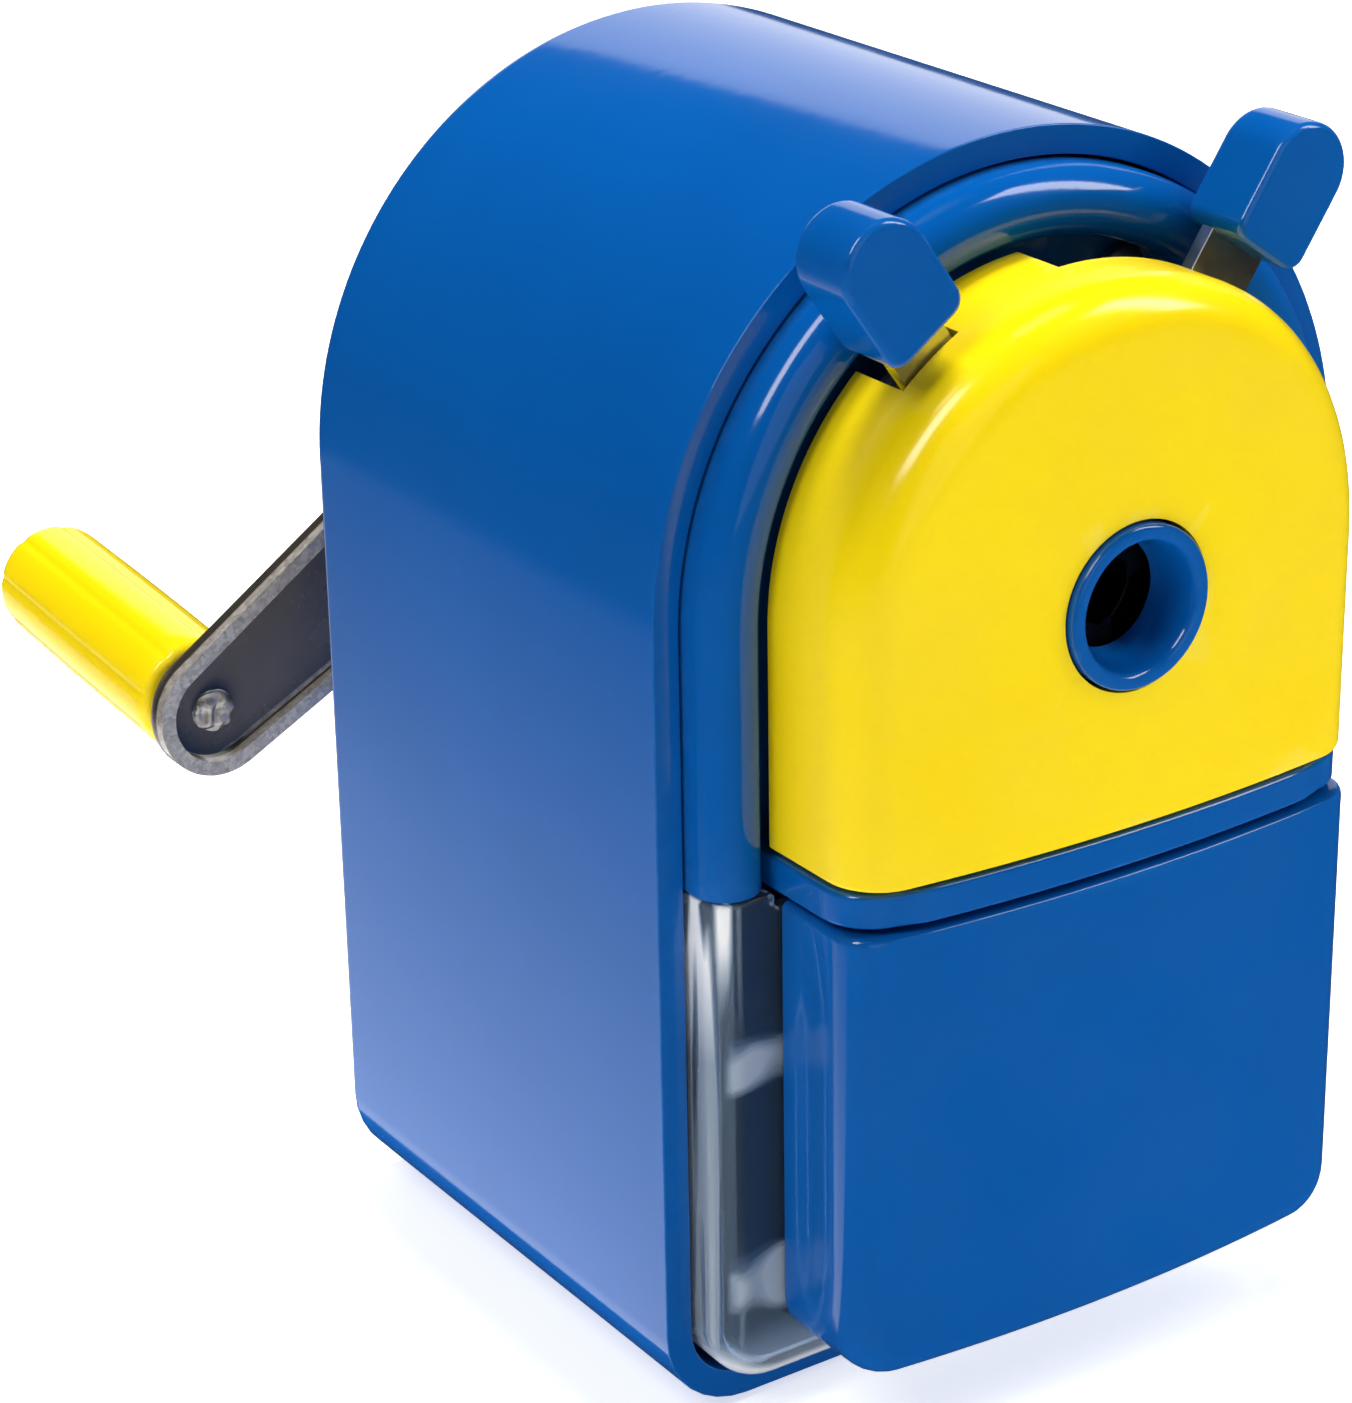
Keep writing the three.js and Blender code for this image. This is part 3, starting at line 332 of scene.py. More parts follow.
class Nodes:
    """Short calls for building a material's nodes."""

    def __init__(self, name):
        self.material = bpy.data.materials.new(name)
        self.material.use_nodes = True
        self.tree = self.material.node_tree
        self.shader = self.tree.nodes["Principled BSDF"]
        self.where = self.node("TexCoord").outputs["Object"]

    def node(self, kind, **values):
        """A new shader node of this kind."""
        made = self.tree.nodes.new("ShaderNode" + kind)
        for key, value in values.items():
            setattr(made, key, value)
        return made

    def link(self, source, target):
        self.tree.links.new(source, target)

    def feed(self, socket, source):
        """Links a value into one of the shader's sockets."""
        self.link(source, self.shader.inputs[socket])

    def stretched(self, x, y, z):
        """The object's coordinates, scaled by axis."""
        mapping = self.node("Mapping")
        mapping.inputs["Scale"].default_value = (x, y, z)
        self.link(self.where, mapping.inputs["Vector"])
        return mapping.outputs["Vector"]

    def noise(self, scale, detail=3.0, rough=0.55, where=None):
        """Noise from 0 to 1, with a scale in cells per metre."""
        noise = self.node("TexNoise")
        noise.inputs["Scale"].default_value = scale
        noise.inputs["Detail"].default_value = detail
        noise.inputs["Roughness"].default_value = rough
        self.link(where or self.where, noise.inputs["Vector"])
        return noise.outputs["Fac"]

    def span(self, value, low, high, start=0.3, stop=0.7):
        """Maps a value from start..stop to low..high, and holds it there beyond them."""
        ranged = self.node("MapRange")
        ranged.inputs["From Min"].default_value = start
        ranged.inputs["From Max"].default_value = stop
        ranged.inputs["To Min"].default_value = low
        ranged.inputs["To Max"].default_value = high
        self.link(value, ranged.inputs["Value"])
        return ranged.outputs["Result"]

    def maths(self, operation, a, b=0.0):
        """A Math node on two values or numbers."""
        node = self.node("Math", operation=operation)
        for socket, value in zip(node.inputs, (a, b)):
            if isinstance(value, (int, float)):
                socket.default_value = value
            else:
                self.link(value, socket)
        return node.outputs["Value"]

    def times(self, a, b):
        return self.maths("MULTIPLY", a, b)

    def split(self, vector):
        """The X, Y and Z of a vector."""
        parts = self.node("SeparateXYZ")
        self.link(vector, parts.inputs["Vector"])
        return parts.outputs["X"], parts.outputs["Y"], parts.outputs["Z"]

    def facing(self):
        """The X, Y and Z of the surface normal."""
        return self.split(self.node("NewGeometry").outputs["Normal"])

    def mix(self, share, a, b):
        """Colour a where share is 0, and b where it is 1."""
        node = self.node("Mix", data_type="RGBA")
        self.link(share, node.inputs["Factor"])
        for key, value in (("A", a), ("B", b)):
            socket = [s for s in node.inputs if s.name == key and s.type == "RGBA"][0]
            if isinstance(value, tuple):
                socket.default_value = (*value, 1.0)
            else:
                self.link(value, socket)
        return [s for s in node.outputs if s.type == "RGBA"][0]

    def edges(self, start=0.51, stop=0.56):
        """0 on flat faces and 1 on convex edges."""
        pointed = self.node("NewGeometry").outputs["Pointiness"]
        return self.span(pointed, 0.0, 1.0, start, stop)

    def bump(self, height, strength, distance):
        """Relief in the normal; the distance is in metres."""
        node = self.node("Bump")
        node.inputs["Strength"].default_value = strength
        node.inputs["Distance"].default_value = distance
        self.link(height, node.inputs["Height"])
        self.feed("Normal", node.outputs["Normal"])

    def put(self, **values):
        """Sets the shader's own sockets; an underscore stands for a space."""
        for key, value in values.items():
            self.shader.inputs[key.replace("_", " ")].default_value = value


def plastic(slot, colour, deep, roughness, wear):
    """Gloss moulded plastic: slow colour drift, faint flow texture, rubbed edges."""
    n = Nodes(slot)
    drift = n.span(n.noise(45, 2), 0.0, 1.0)
    body = n.mix(drift, deep, colour)
    rubbed = n.times(n.edges(), n.span(n.noise(700, 4), 0.1, 0.5))
    n.feed("Base Color", n.mix(rubbed, body, wear))
    smears = n.span(n.noise(90, 4, 0.6, n.stretched(1, 0.4, 1)), roughness * 0.75, roughness * 1.3)
    n.feed("Roughness", n.maths("ADD", smears, n.times(rubbed, 0.12)))
    n.bump(n.noise(520, 3, 0.5), 0.12, 0.06 * MM)
    n.put(IOR=1.5)
    MATERIALS[slot] = n.material


def clear_plastic(slot):
    """Clear polystyrene with painted light: pale reflection streaks on bent walls, pale painted glints on
    flat ones, and a painted pale foot.
    """
    n = Nodes(slot)
    side, ahead, up = n.facing()
    _, behind, height = n.split(n.where)
    floor = ORIGIN.z
    lobe = n.span(behind, 1.0, 0.0, ORIGIN.y + 1 * MM, ORIGIN.y + 4 * MM)
    bent = n.times(n.span(n.maths("ABSOLUTE", side), 0.0, 1.0, 0.05, 0.45), lobe)
    # Painted reflection: pale vertical streaks on the bent walls, fading out lower down.
    reflection_streaks = n.span(n.noise(520, 1, 0.4, n.stretched(1, 1, 0.06)), 0.1, 1.0, 0.45, 0.53)
    upper = n.span(height, 0.34, 1.0, floor + 37 * MM, floor + 48 * MM)
    painted_streak_column = n.times(n.times(bent, reflection_streaks), upper)
    # Painted glints: pale patches in bands up the flat front wall.
    waves_per_metre, wave_start = 292.0, 2.66
    wave = n.times(height, waves_per_metre)
    swell = n.maths("SINE", n.maths("SUBTRACT", wave, wave_start + waves_per_metre * floor))
    painted_glint_patches = n.span(n.maths("ADD", swell, n.noise(150, 1, 0.3)), 0.0, 0.5, 1.15, 1.4)
    front = n.times(lobe, n.span(ahead, 1.0, 0.0, -0.95, -0.7))
    flat = n.times(front, painted_glint_patches)
    # Painted sheen: paler towards the bottom and on faces turned down.
    low = n.span(height, 0.4, 0.0, floor + 4 * MM, floor + 10 * MM)
    foot = n.maths("MAXIMUM", n.span(up, 0.85, 0.0, -0.5, -0.1), low)
    # These painted marks make the plastic pale and less clear wherever they fall.
    painted_sheen = n.maths("MAXIMUM", n.maths("MAXIMUM", painted_streak_column, flat), foot)
    n.feed("Base Color", n.mix(painted_sheen, (0.42, 0.60, 0.82), (0.93, 0.935, 0.95)))
    n.feed("Transmission Weight", n.span(painted_sheen, 0.96, 0.1, 0.0, 1.0))
    n.feed("Roughness", n.span(n.noise(240, 4), 0.015, 0.05))
    n.bump(n.noise(110, 2, 0.4, n.stretched(1, 1, 0.25)), 0.25, 0.3 * MM)
    n.put(IOR=1.52)
    MATERIALS[slot] = n.material


def metal(slot, colour, dark, roughness, grain, grain_axis, strength, edge=0.5):
    """Metal with a drawn grain, cloudy tarnish and brighter rubbed edges."""
    n = Nodes(slot)
    stretch = {"x": (0.06, 1, 1), "y": (1, 0.06, 1), "z": (1, 1, 0.06), "": (1, 1, 1)}[grain_axis]
    lines = n.noise(grain, 5, 0.65, n.stretched(*stretch))
    cloud = n.noise(160, 4)
    body = n.mix(n.span(cloud, 0.0, 1.0, 0.35, 0.7), dark, colour)
    rubbed = n.times(n.edges(), edge)
    n.feed("Base Color", n.mix(rubbed, body, tuple(min(1.0, c * 1.25) for c in colour)))
    spread = n.maths("ADD", n.span(lines, -0.05, 0.08), n.span(cloud, roughness, roughness * 1.5))
    n.feed("Roughness", n.maths("MAXIMUM", spread, 0.03))
    n.bump(lines, strength, 0.04 * MM)
    n.put(Metallic=1.0)
    MATERIALS[slot] = n.material


def worn_plating(name, dark, pale, cut_edge, relief, coat):
    """Dull plating: satin body, painted shade on faces turned away from the front, bright edges that are
    partly rubbed wear and partly painted highlight, and a grainy sheared face ahead of cut_edge.
    """
    bright = (0.62, 0.565, 0.50)
    n = Nodes(name)
    cloud = n.noise(120, 4, 0.6)
    fine = n.noise(1100, 4, 0.7)
    to_front = n.facing()[1]
    # Painted shade: faces turned away from the front are darkened to about a third of the dark tone.
    painted_side_shade = tuple(c * 0.35 for c in dark)
    web = n.mix(n.span(cloud, 0.0, 1.0), dark, pale)
    body = n.mix(n.span(to_front, 1.0, 0.0, -0.9, -0.5), painted_side_shade, web)
    cut, fade = ORIGIN.y + cut_edge * MM, 0.2 * MM
    ahead = n.span(n.split(n.where)[1], 1.0, 0.0, cut, cut + fade)
    sheared = n.times(ahead, n.span(to_front, 1.0, 0.0, -0.97, -0.88))
    sparkle = n.span(n.noise(1500, 2, 0.6), 0.0, 1.0, 0.45, 0.55)
    grain = n.times(sheared, sparkle)
    # The bright edges are partly rubbed wear and partly painted highlight along the folds.
    rubbed = n.maths("MAXIMUM", grain, n.times(n.edges(0.515, 0.56), n.span(fine, 0.35, 1.0)))
    n.feed("Base Color", n.mix(rubbed, body, bright))
    n.feed("Roughness", n.span(cloud, 0.22, 0.32))
    n.bump(fine, 0.3, relief * MM)
    n.put(Metallic=0.3, Coat_Weight=coat, Coat_Roughness=0.05, Coat_IOR=1.6)
    MATERIALS[name] = n.material


def dull(slot, colour, pale, roughness, grain, strength):
    """Matt plastic, rubber or cast metal, with a speckled skin."""
    n = Nodes(slot)
    speckle = n.noise(grain, 5, 0.7)
    n.feed("Base Color", n.mix(n.span(speckle, 0.0, 1.0), colour, pale))
    n.feed("Roughness", n.span(n.noise(200, 3), roughness * 0.85, roughness * 1.1))
    n.bump(speckle, strength, 0.15 * MM)
    MATERIALS[slot] = n.material
    return n


def make_materials():
    plastic("blue_plastic", (0.0008, 0.094, 0.375), (0.0006, 0.087, 0.352), 0.10, (0.02, 0.15, 0.48))
    plastic("yellow_plastic", (1.0, 0.74, 0.002), (0.97, 0.70, 0.0015), 0.16, (1.0, 0.80, 0.08))
    clear_plastic("clear_plastic")
    metal("bright_steel", (0.56, 0.56, 0.545), (0.49, 0.49, 0.48), 0.26, 900, "y", 0.12)
    metal("chrome", (0.66, 0.655, 0.65), (0.50, 0.49, 0.48), 0.07, 700, "", 0.12, 0.8)
    metal("tool_steel", (0.34, 0.34, 0.36), (0.24, 0.24, 0.26), 0.24, 1100, "x", 0.4)
    # Painted shade: a near-black metal put on the chuck sleeve and jaws so that the pencil hole looks dark.
    metal("painted_bore_shade", (0.05, 0.05, 0.052), (0.035, 0.035, 0.036), 0.35, 900, "x", 0.3, 0.2)
    metal("brass", (0.74, 0.55, 0.24), (0.60, 0.43, 0.18), 0.22, 1100, "z", 0.3)
    rim, nowhere = ARM_BACK - 2.9, ARM_BACK - 20
    worn_plating("arm_plating", (0.145, 0.120, 0.096), (0.175, 0.146, 0.118), rim, 0.03, 0.3)
    worn_plating("rivet_plating", (0.38, 0.35, 0.32), (0.80, 0.74, 0.68), nowhere, 1.2, 1.0)
    casting = dull("zinc_casting", (0.34, 0.34, 0.35), (0.52, 0.52, 0.53), 0.46, 650, 0.5)
    casting.put(Metallic=1.0)
    dull("acetal", (0.02, 0.02, 0.022), (0.04, 0.04, 0.043), 0.42, 900, 0.2)
    dull("rubber", (0.012, 0.012, 0.012), (0.03, 0.03, 0.03), 0.85, 1400, 0.6)


# ---- outlines


ARCH_STEPS = 96
ARCH_ANGLES = [180 * i / ARCH_STEPS for i in range(ARCH_STEPS + 1)]


def arch(half, bottom, corner, leg_steps=10, angles=ARCH_ANGLES):
    """Tunnel outline from the bottom's middle, round the right side and back, as (x, z)."""
    right = line((0, bottom), (half - corner, bottom), 8)
    right = [(0, bottom)] + right + arc(half - corner, bottom + corner, corner, -90, 0, 8)
    right += line((half, bottom + corner), (half, AXIS_Z), leg_steps)
    top = [(half * cos(radians(a)), AXIS_Z + half * sin(radians(a))) for a in angles]
    return right + top + [(-x, z) for x, z in reversed(right[1:])]


def tray(half, bottom, top, corner, top_corner=0.8):
    """Upright rectangle with round corners, from the bottom's middle round the right side."""
    right = [(0, bottom)] + line((0, bottom), (half - corner, bottom), 12)
    right += arc(half - corner, bottom + corner, corner, -90, 0, 8)
    right += line((half, bottom + corner), (half, top - top_corner), 14)
    right += arc(half - top_corner, top - top_corner, top_corner, 0, 90, 4)
    right += line((half - top_corner, top), (0, top), 12) + [(0, top)]
    return right + [(-x, z) for x, z in reversed(right[1:-1])]


def at_depth(outline, y):
    """An (x, z) outline as points at one Y, or at the Y that a function of (x, z) gives."""
    return [(x, y(x, z) if callable(y) else y, z) for x, z in outline]


def round_axis(angle, out, y, across=0.0):
    """A point so far out from the crank and pencil axis at an angle in degrees, and across it."""
    turn = radians(angle)
    x = out * cos(turn) - across * sin(turn)
    return x, y, AXIS_Z + out * sin(turn) + across * cos(turn)


def towards_hole(outline, radius, share):
    """An outline moved part of the way to a circle round the crank and pencil axis."""
    moved = []
    for x, z in outline:
        turn = math.atan2(z - AXIS_Z, x)
        hole = (radius * cos(turn), AXIS_Z + radius * sin(turn))
        moved.append((x + (hole[0] - x) * share, z + (hole[1] - z) * share))
    return moved


def quarter(steps):
    """(sin, cos) pairs from 0 to 90 degrees."""
    turns = [pi / 2 * i / steps for i in range(steps + 1)]
    return [(sin(t), cos(t)) for t in turns]


def bowed_front(x, z):
    """The Y of the bowed front shared by the yellow cap and the drawer front."""
    return NOSE_FRONT + NOSE_BOW * (x / NOSE_HALF) ** 2


# ---- casing and its fixed pieces


def make_casing():
    """Arched tunnel with a rounded back edge and a hole for the rear bearing cap."""
    rounding, hole, rim_rounding = 1.3, 17.9, 1.15
    rings = [at_depth(arch(CASING_HALF, 0, CASING_CORNER), y) for y in (0, 1.5, 6, 20, 38, 50)]
    for s, c in quarter(7):
        inset = rounding * (1 - c)
        outline = arch(CASING_HALF - inset, inset, CASING_CORNER - inset)
        rings.append(at_depth(outline, CASING_DEPTH - rounding * (1 - s)))
    flat = arch(CASING_HALF - rounding, rounding, CASING_CORNER - rounding)
    for share in (0.12, 0.5, 0.9, 1.0):
        rings.append(at_depth(towards_hole(flat, hole, share), CASING_DEPTH))
    casing = mesh_object("casing", *skin(rings))
    thicken(casing, CASING_WALL)
    round_edges(casing, rim_rounding, 5, 50)
    finish_piece(casing, "housing", "blue_plastic", "housing_shell")


def bead_section(steps=24):
    """Half-round bead as (radius, y), with short sides back to the plate."""
    middle, half = (BEAD_OUTER + BEAD_INNER) / 2, (BEAD_OUTER - BEAD_INNER) / 2
    front = arc(middle, BEAD_FRONT + half, half, 0, -180, steps)
    return [(BEAD_OUTER, PLATE_FRONT + 1)] + front + [(BEAD_INNER, PLATE_FRONT + 1)]


def nose_plan(inset, back, steps=24):
    """Plan of the nose from its right back corner round the bowed front, as (x, y)."""
    half, front, corner, corner_turn = NOSE_HALF - inset, NOSE_FRONT + inset, 5 - inset / 2, -82
    side = front + NOSE_BOW + corner
    reach = half - corner
    right = [(half, back)] + line((half, back), (half, side), 6)
    right += arc(reach, side, corner, 0, corner_turn, 10)
    left = [(-x, y) for x, y in reversed(right)]
    across = [reach * (1 - 2 * i / steps) for i in range(1, steps)]
    middle = [(x, front + NOSE_BOW * (x / half) ** 2) for x in across]
    return right + middle + left


def make_bead():
    """The half-round bead, swept up one leg, over the arch and down the other."""
    section = bead_section()
    leg = (BEAD_BOTTOM, BEAD_BOTTOM + 3, 60, 68)
    path = [("right", z) for z in leg]
    path += [("arch", angle) for angle in ARCH_ANGLES]
    path += [("left", z) for z in reversed(leg)]
    rings = []
    for kind, value in path:
        if kind == "arch":
            rings.append([round_axis(value, r, y) for r, y in section])
        else:
            side = 1 if kind == "right" else -1
            rings.append([(side * r, y, value) for r, y in section])
    return solid(rings)


def make_plate():
    """The flat plate behind the cap, with the hole for the nose bush."""
    outline, bore = arch(BEAD_OUTER, FRAME_LOW.z, 0.6), 11.5
    places = [(share, PLATE_BACK) for share in (1, 0.5, 0)]
    places += [(share, PLATE_FRONT) for share in (0, 0.5, 1)]
    rings = [at_depth(towards_hole(outline, bore, share), y) for share, y in places]
    return skin(rings + [rings[0]])


def make_shelf():
    """The strip between the yellow cap and the drawer, with rounded edges."""
    rounding = 0.5
    levels = [(rounding * (1 - s), FRAME_LOW.z + rounding * (1 - c)) for s, c in quarter(5)]
    levels += [(rounding * (1 - c), SHELF_TOP - rounding * (1 - s)) for s, c in quarter(5)]
    rings = [[(x, y, z) for x, y in nose_plan(inset, PLATE_FRONT + 1)] for inset, z in levels]
    return solid(rings)


def make_front_frame():
    """Bead, plate and shelf as one moulding."""
    moulding = merged(make_bead(), make_plate(), make_shelf())
    frame_piece = mesh_object("front_frame_moulding", *moulding)
    finish_piece(frame_piece, "housing", "blue_plastic", "front_frame", smooth=40)


# ---- feed carriage


def cap_angles():
    """Angles round the cap's arch, with a point at each side of the notch and the recess."""
    least_gap = 0.8
    stops = {0.0, 180.0, *LEFT_NOTCH, *RIGHT_RECESS}
    even = {a for a in ARCH_ANGLES if all(abs(a - stop) > least_gap for stop in stops)}
    return sorted(stops | even)


def make_front_cap():
    """Yellow cap with a rounded front, a notch and a recess for the levers, and the pencil hole."""
    fillet, foot_corner, leg_steps, face_steps = 4.3, 0.5, 8, 14
    ring_hole = RING_RADIUS + GAP
    angles = cap_angles()
    outline = lambda inset: arch(NOSE_HALF - inset, CAP_LOW.z, foot_corner, leg_steps, angles)
    back = CAP_HIGH.y
    levels = (back, back - 1.2, RIGHT_RECESS_BOTTOM + 2, RIGHT_RECESS_BOTTOM, LEFT_NOTCH_BOTTOM)
    rings = [at_depth(outline(0), y) for y in levels + (LEFT_NOTCH_BOTTOM - 1.2,)]
    for s, c in quarter(9):
        depth = lambda x, z: bowed_front(x, z) + fillet * (1 - s)
        rings.append(at_depth(outline(fillet * (1 - c)), depth))
    for i in range(1, face_steps + 1):
        rings.append(at_depth(towards_hole(outline(fillet), ring_hole, i / face_steps), bowed_front))
    first = len(arch(NOSE_HALF, CAP_LOW.z, foot_corner, leg_steps, [0])) // 2
    openings = ((LEFT_NOTCH, LEFT_NOTCH_BOTTOM), (RIGHT_RECESS, RIGHT_RECESS_BOTTOM))

    def keep(i, j):
        """Whether a face of the sheet stays: those inside the notch and the recess go."""
        if j + 1 >= len(levels) or not first <= i < first + len(angles) - 1:
            return True
        middle = (angles[i - first] + angles[i - first + 1]) / 2
        return not any(low < middle < high and levels[j + 1] >= end for (low, high), end in openings)

    cap = mesh_object("yellow_cap", *skin(rings, keep=keep))
    thicken(cap, NOSE_WALL)
    round_edges(cap, 0.35, 3, 50)
    finish_piece(cap, "carriage", "yellow_plastic", "front_cap")


def make_hole_ring():
    """Grommet with a rounded lip, a flat rim and a funnel that runs back to the chuck."""
    bore, neck, lip, back = 5.0, 6.6, 0.5, -13.4
    funnel = (
        (6.45, 0.03), (6.2, 0.16), (6.02, 0.42), (5.9, 0.8), (5.7, 1.6), (5.45, 2.6), (5.2, 3.8),
    )
    profile = [(bore, back), (neck, back), (neck, RING_FRONT + 2.9), (RING_RADIUS, RING_FRONT + 2.6)]
    profile += arc(RING_RADIUS - lip, RING_FRONT + lip, lip, 0, -90, 6)
    profile += [(radius, RING_FRONT + depth) for radius, depth in funnel]
    ring = mesh_object("pencil_hole_ring", *lathe(profile, (0, 0, AXIS_Z), (0, 1, 0), 128))
    finish_piece(ring, "carriage", "blue_plastic", "hole_ring")


def make_tab(name, node, body, angle, lever_front):
    """Finger tab: round outer end, softened edges, standing along the lever."""
    edge, foot_corner, least_corner = 0.75, 1.6, 0.3
    front = lever_front - TAB_AHEAD
    back = front + TAB_DEPTH

    def outline(inset):
        """The tab as (distance from the crank axis, distance across), drawn smaller by an inset."""
        half = TAB_WIDTH / 2 - inset
        corner = max(foot_corner - inset, least_corner)
        low, centre = TAB_INNER + inset, TAB_OUTER - TAB_WIDTH / 2
        upper = [(low, 0)] + line((low, 0), (low, half - corner), 4)
        upper += arc(low + corner, half - corner, corner, 180, 90, 5)
        upper += line((low + corner, half), (centre, half), 6)
        upper += arc(centre, 0, half, 90, 0, 14)
        return upper + [(r, -s) for r, s in reversed(upper[1:-1])]

    depths = [(edge * (1 - s), front + edge * (1 - c)) for s, c in quarter(6)]
    depths += [(0, front + 3), (0, back - 2)]
    depths += [(edge * (1 - c), back - edge * (1 - s)) for s, c in quarter(6)]
    rings = [[round_axis(angle, r, y, s) for r, s in outline(inset)] for inset, y in depths]
    tab = mesh_object(name, *solid(rings))
    finish_piece(tab, body, "blue_plastic", node, smooth=45)


def make_springs():
    """Feed springs with closed end turns, built at one length; the real springs shorten as the carriage
    comes out.
    """
    wire, radius, turns, sides = 0.45, 3.0, 11, 10
    steps = turns * 28
    for side, x in (("left", -ROD_X), ("right", ROD_X)):
        low, high = local_box(f"feed_spring_{side}")
        start, stop = low.y + wire, high.y - wire
        rings = []
        for i in range(steps + 1):
            t = i / steps
            turn = 2 * pi * turns * t
            run = min(max((t * turns - 1) / (turns - 2), 0), 1)
            closed_turns = 2 * wire * min(t * turns, 1) + 2 * wire * max(t * turns - turns + 1, 0)
            y = start + closed_turns + (stop - start - 4 * wire) * run
            hub = Vector((x + radius * cos(turn), y, ROD_Z + radius * sin(turn)))
            out = Vector((cos(turn), 0, sin(turn)))
            rings.append([
                tuple(hub + out * wire * cos(a) + Vector((0, 1, 0)) * wire * sin(a))
                for a in (2 * pi * k / sides for k in range(sides))
            ])
        spring = mesh_object(f"coil_spring_{side}", *solid(rings))
        finish_piece(spring, "carriage", "bright_steel", f"feed_spring_{side}", smooth=60)
        bake(spring)
        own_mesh(spring)


# ---- crank


def arm_outline(inset, steps=28):
    """Crank arm outline from its pin's end, as (distance along the arm, distance across it)."""
    hub, end = ARM_HUB_RADIUS - inset, ARM_PIN_RADIUS - inset
    lean = math.degrees(math.asin((hub - end) / CRANK_RADIUS))
    upper = arc(CRANK_RADIUS, 0, end, 0, 90 - lean, steps // 2)
    left = arc(0, 0, hub, 90 - lean, 180, steps // 2)
    upper += line(upper[-1], left[0], 24) + left
    return upper + [(a, -b) for a, b in reversed(upper[1:-1])]


def on_arm(a, y, b):
    """A point given along, behind and across the arm, in the casing's frame."""
    return round_axis(CRANK_ANGLE, a, y, b)


def make_crank_arm():
    """Pressed channel, open to the front, deeper at the pin than at the hub."""
    bend, rim_rounding = 1.5, 0.68
    spread = ARM_DEPTH_AT_HUB - ARM_DEPTH_AT_PIN
    wall_back = ARM_BACK - bend

    def wall(a, share):
        """The Y of the channel's wall, from its front rim at share 0 to the bend at share 1."""
        front = ARM_BACK - ARM_DEPTH_AT_HUB + spread * max(a, 0) / CRANK_RADIUS
        return front * (1 - share) + wall_back * share

    rings = []
    for share in (0.0, 0.4, 0.7, 1.0):
        rings.append([on_arm(a, wall(a, share), b) for a, b in arm_outline(0)])
    for s, c in quarter(6)[1:]:
        rings.append([on_arm(a, wall_back + bend * s, b) for a, b in arm_outline(bend * (1 - c))])
    for inset in (1.8, 2.4, 3.2, 5.2):
        rings.append([on_arm(a, ARM_BACK, b) for a, b in arm_outline(inset)])
    arm = mesh_object("pressed_crank_arm", *skin(rings, cap_last=True))
    thicken(arm, SHEET)
    round_edges(arm, rim_rounding, 5, 50)
    finish_piece(arm, "crank", "chrome", "crank_arm", smooth=45, look="arm_plating")


def pin_line():
    """The handle pin's foot on the back of the arm's web, and its direction."""
    turn, lean = radians(CRANK_ANGLE), radians(PIN_LEAN)
    spoke = Vector((cos(turn), 0, sin(turn)))
    along = Vector((0, 1, 0)) * cos(lean) - spoke * sin(lean)
    return Vector(on_arm(CRANK_RADIUS, ARM_BACK, 0)), along


def make_grip():
    """Handle with eight narrow grooves that run out over its domed far end."""
    base, along = pin_line()
    turn = radians(CRANK_ANGLE)
    spoke = Vector((cos(turn), 0, sin(turn)))
    spoke = (spoke - along * spoke.dot(along)).normalized()
    grooves, groove, groove_width, swell, sides = 8, 0.15, 0.1, 0.12, 192
    near, far = 1.0, 2.6
    stop = GRIP_FRONT + GRIP_LENGTH

    def ring(station, shrink, depth):
        """One ring of the handle, drawn in by shrink, with grooves of this depth."""
        barrel = swell * sin(pi * min(max((station - GRIP_FRONT) / GRIP_LENGTH, 0), 1))
        points = []
        for i in range(sides):
            share = (i * grooves / sides + 0.5) % 1.0 - 0.5
            dip = depth * math.exp(-((share / groove_width) ** 2))
            r = GRIP_RADIUS - swell + barrel - shrink - dip
            points.append(about(base, along, spoke, 2 * pi * i / sides, r, station))
        return points

    rings = [ring(GRIP_FRONT, 3.0, 0), ring(GRIP_FRONT, 1.6, 0.1)]
    rings += [ring(GRIP_FRONT + near * (1 - c), near * (1 - s), groove * s) for s, c in quarter(5)]
    middle = GRIP_LENGTH - near - far
    rings += [ring(GRIP_FRONT + near + middle * i / 16, 0, groove) for i in range(1, 17)]
    rings += [ring(stop - far * (1 - s), far * (1 - c), groove * c ** 0.5) for s, c in quarter(8)[1:]]
    rings += [ring(stop, 3.6, 0.05), ring(stop, 4.8, 0)]
    grip = mesh_object("fluted_grip", *solid(rings))
    finish_piece(grip, "grip", "yellow_plastic", "crank_grip", smooth=60)


def filled_in(profile, step=0.25, longest=2.0):
    """A profile with points added on its short stretches, such as the flat of a head."""
    out = [profile[0]]
    for a, b in zip(profile, profile[1:]):
        if abs(a[1] - b[1]) < longest:
            out += line(a, b, max(1, math.ceil(math.dist(a, b) / step)))
        out.append(b)
    return out


def make_grip_pin():
    """Pin with a hammered rivet head inside the arm's channel."""
    edge = 0.35
    base, along = pin_line()
    profile = softened(meridian("grip_pin", base, along), edge, False)
    points, faces = lathe(filled_in(profile), base, along, 96)
    across = along.orthogonal().normalized()
    other = along.cross(across)
    for k, p in enumerate(points):
        reach = Vector(p) - base
        if reach.dot(along) > -SHEET - edge:
            continue
        u, v = reach.dot(across), reach.dot(other)
        dents = 0.16 * sin(3.1 * u + 1.7 * sin(2.3 * v + 0.7))
        dents += 0.14 * sin(3.7 * v + 1.9 * sin(1.9 * u + 1.3))
        points[k] = tuple(Vector(p) + along * dents)
    pin = mesh_object("riveted_grip_pin", points, faces)
    finish_piece(pin, "crank", "chrome", "grip_pin", smooth=50, look="rivet_plating")


# ---- cutter


def cutter_line():
    """A point on the cutter's axis and the axis's direction."""
    tilt = radians(CUTTER_TILT)
    return Vector((0, GEAR_Y, AXIS_Z + GEAR_CENTRES)), Vector((0, cos(tilt), -sin(tilt)))


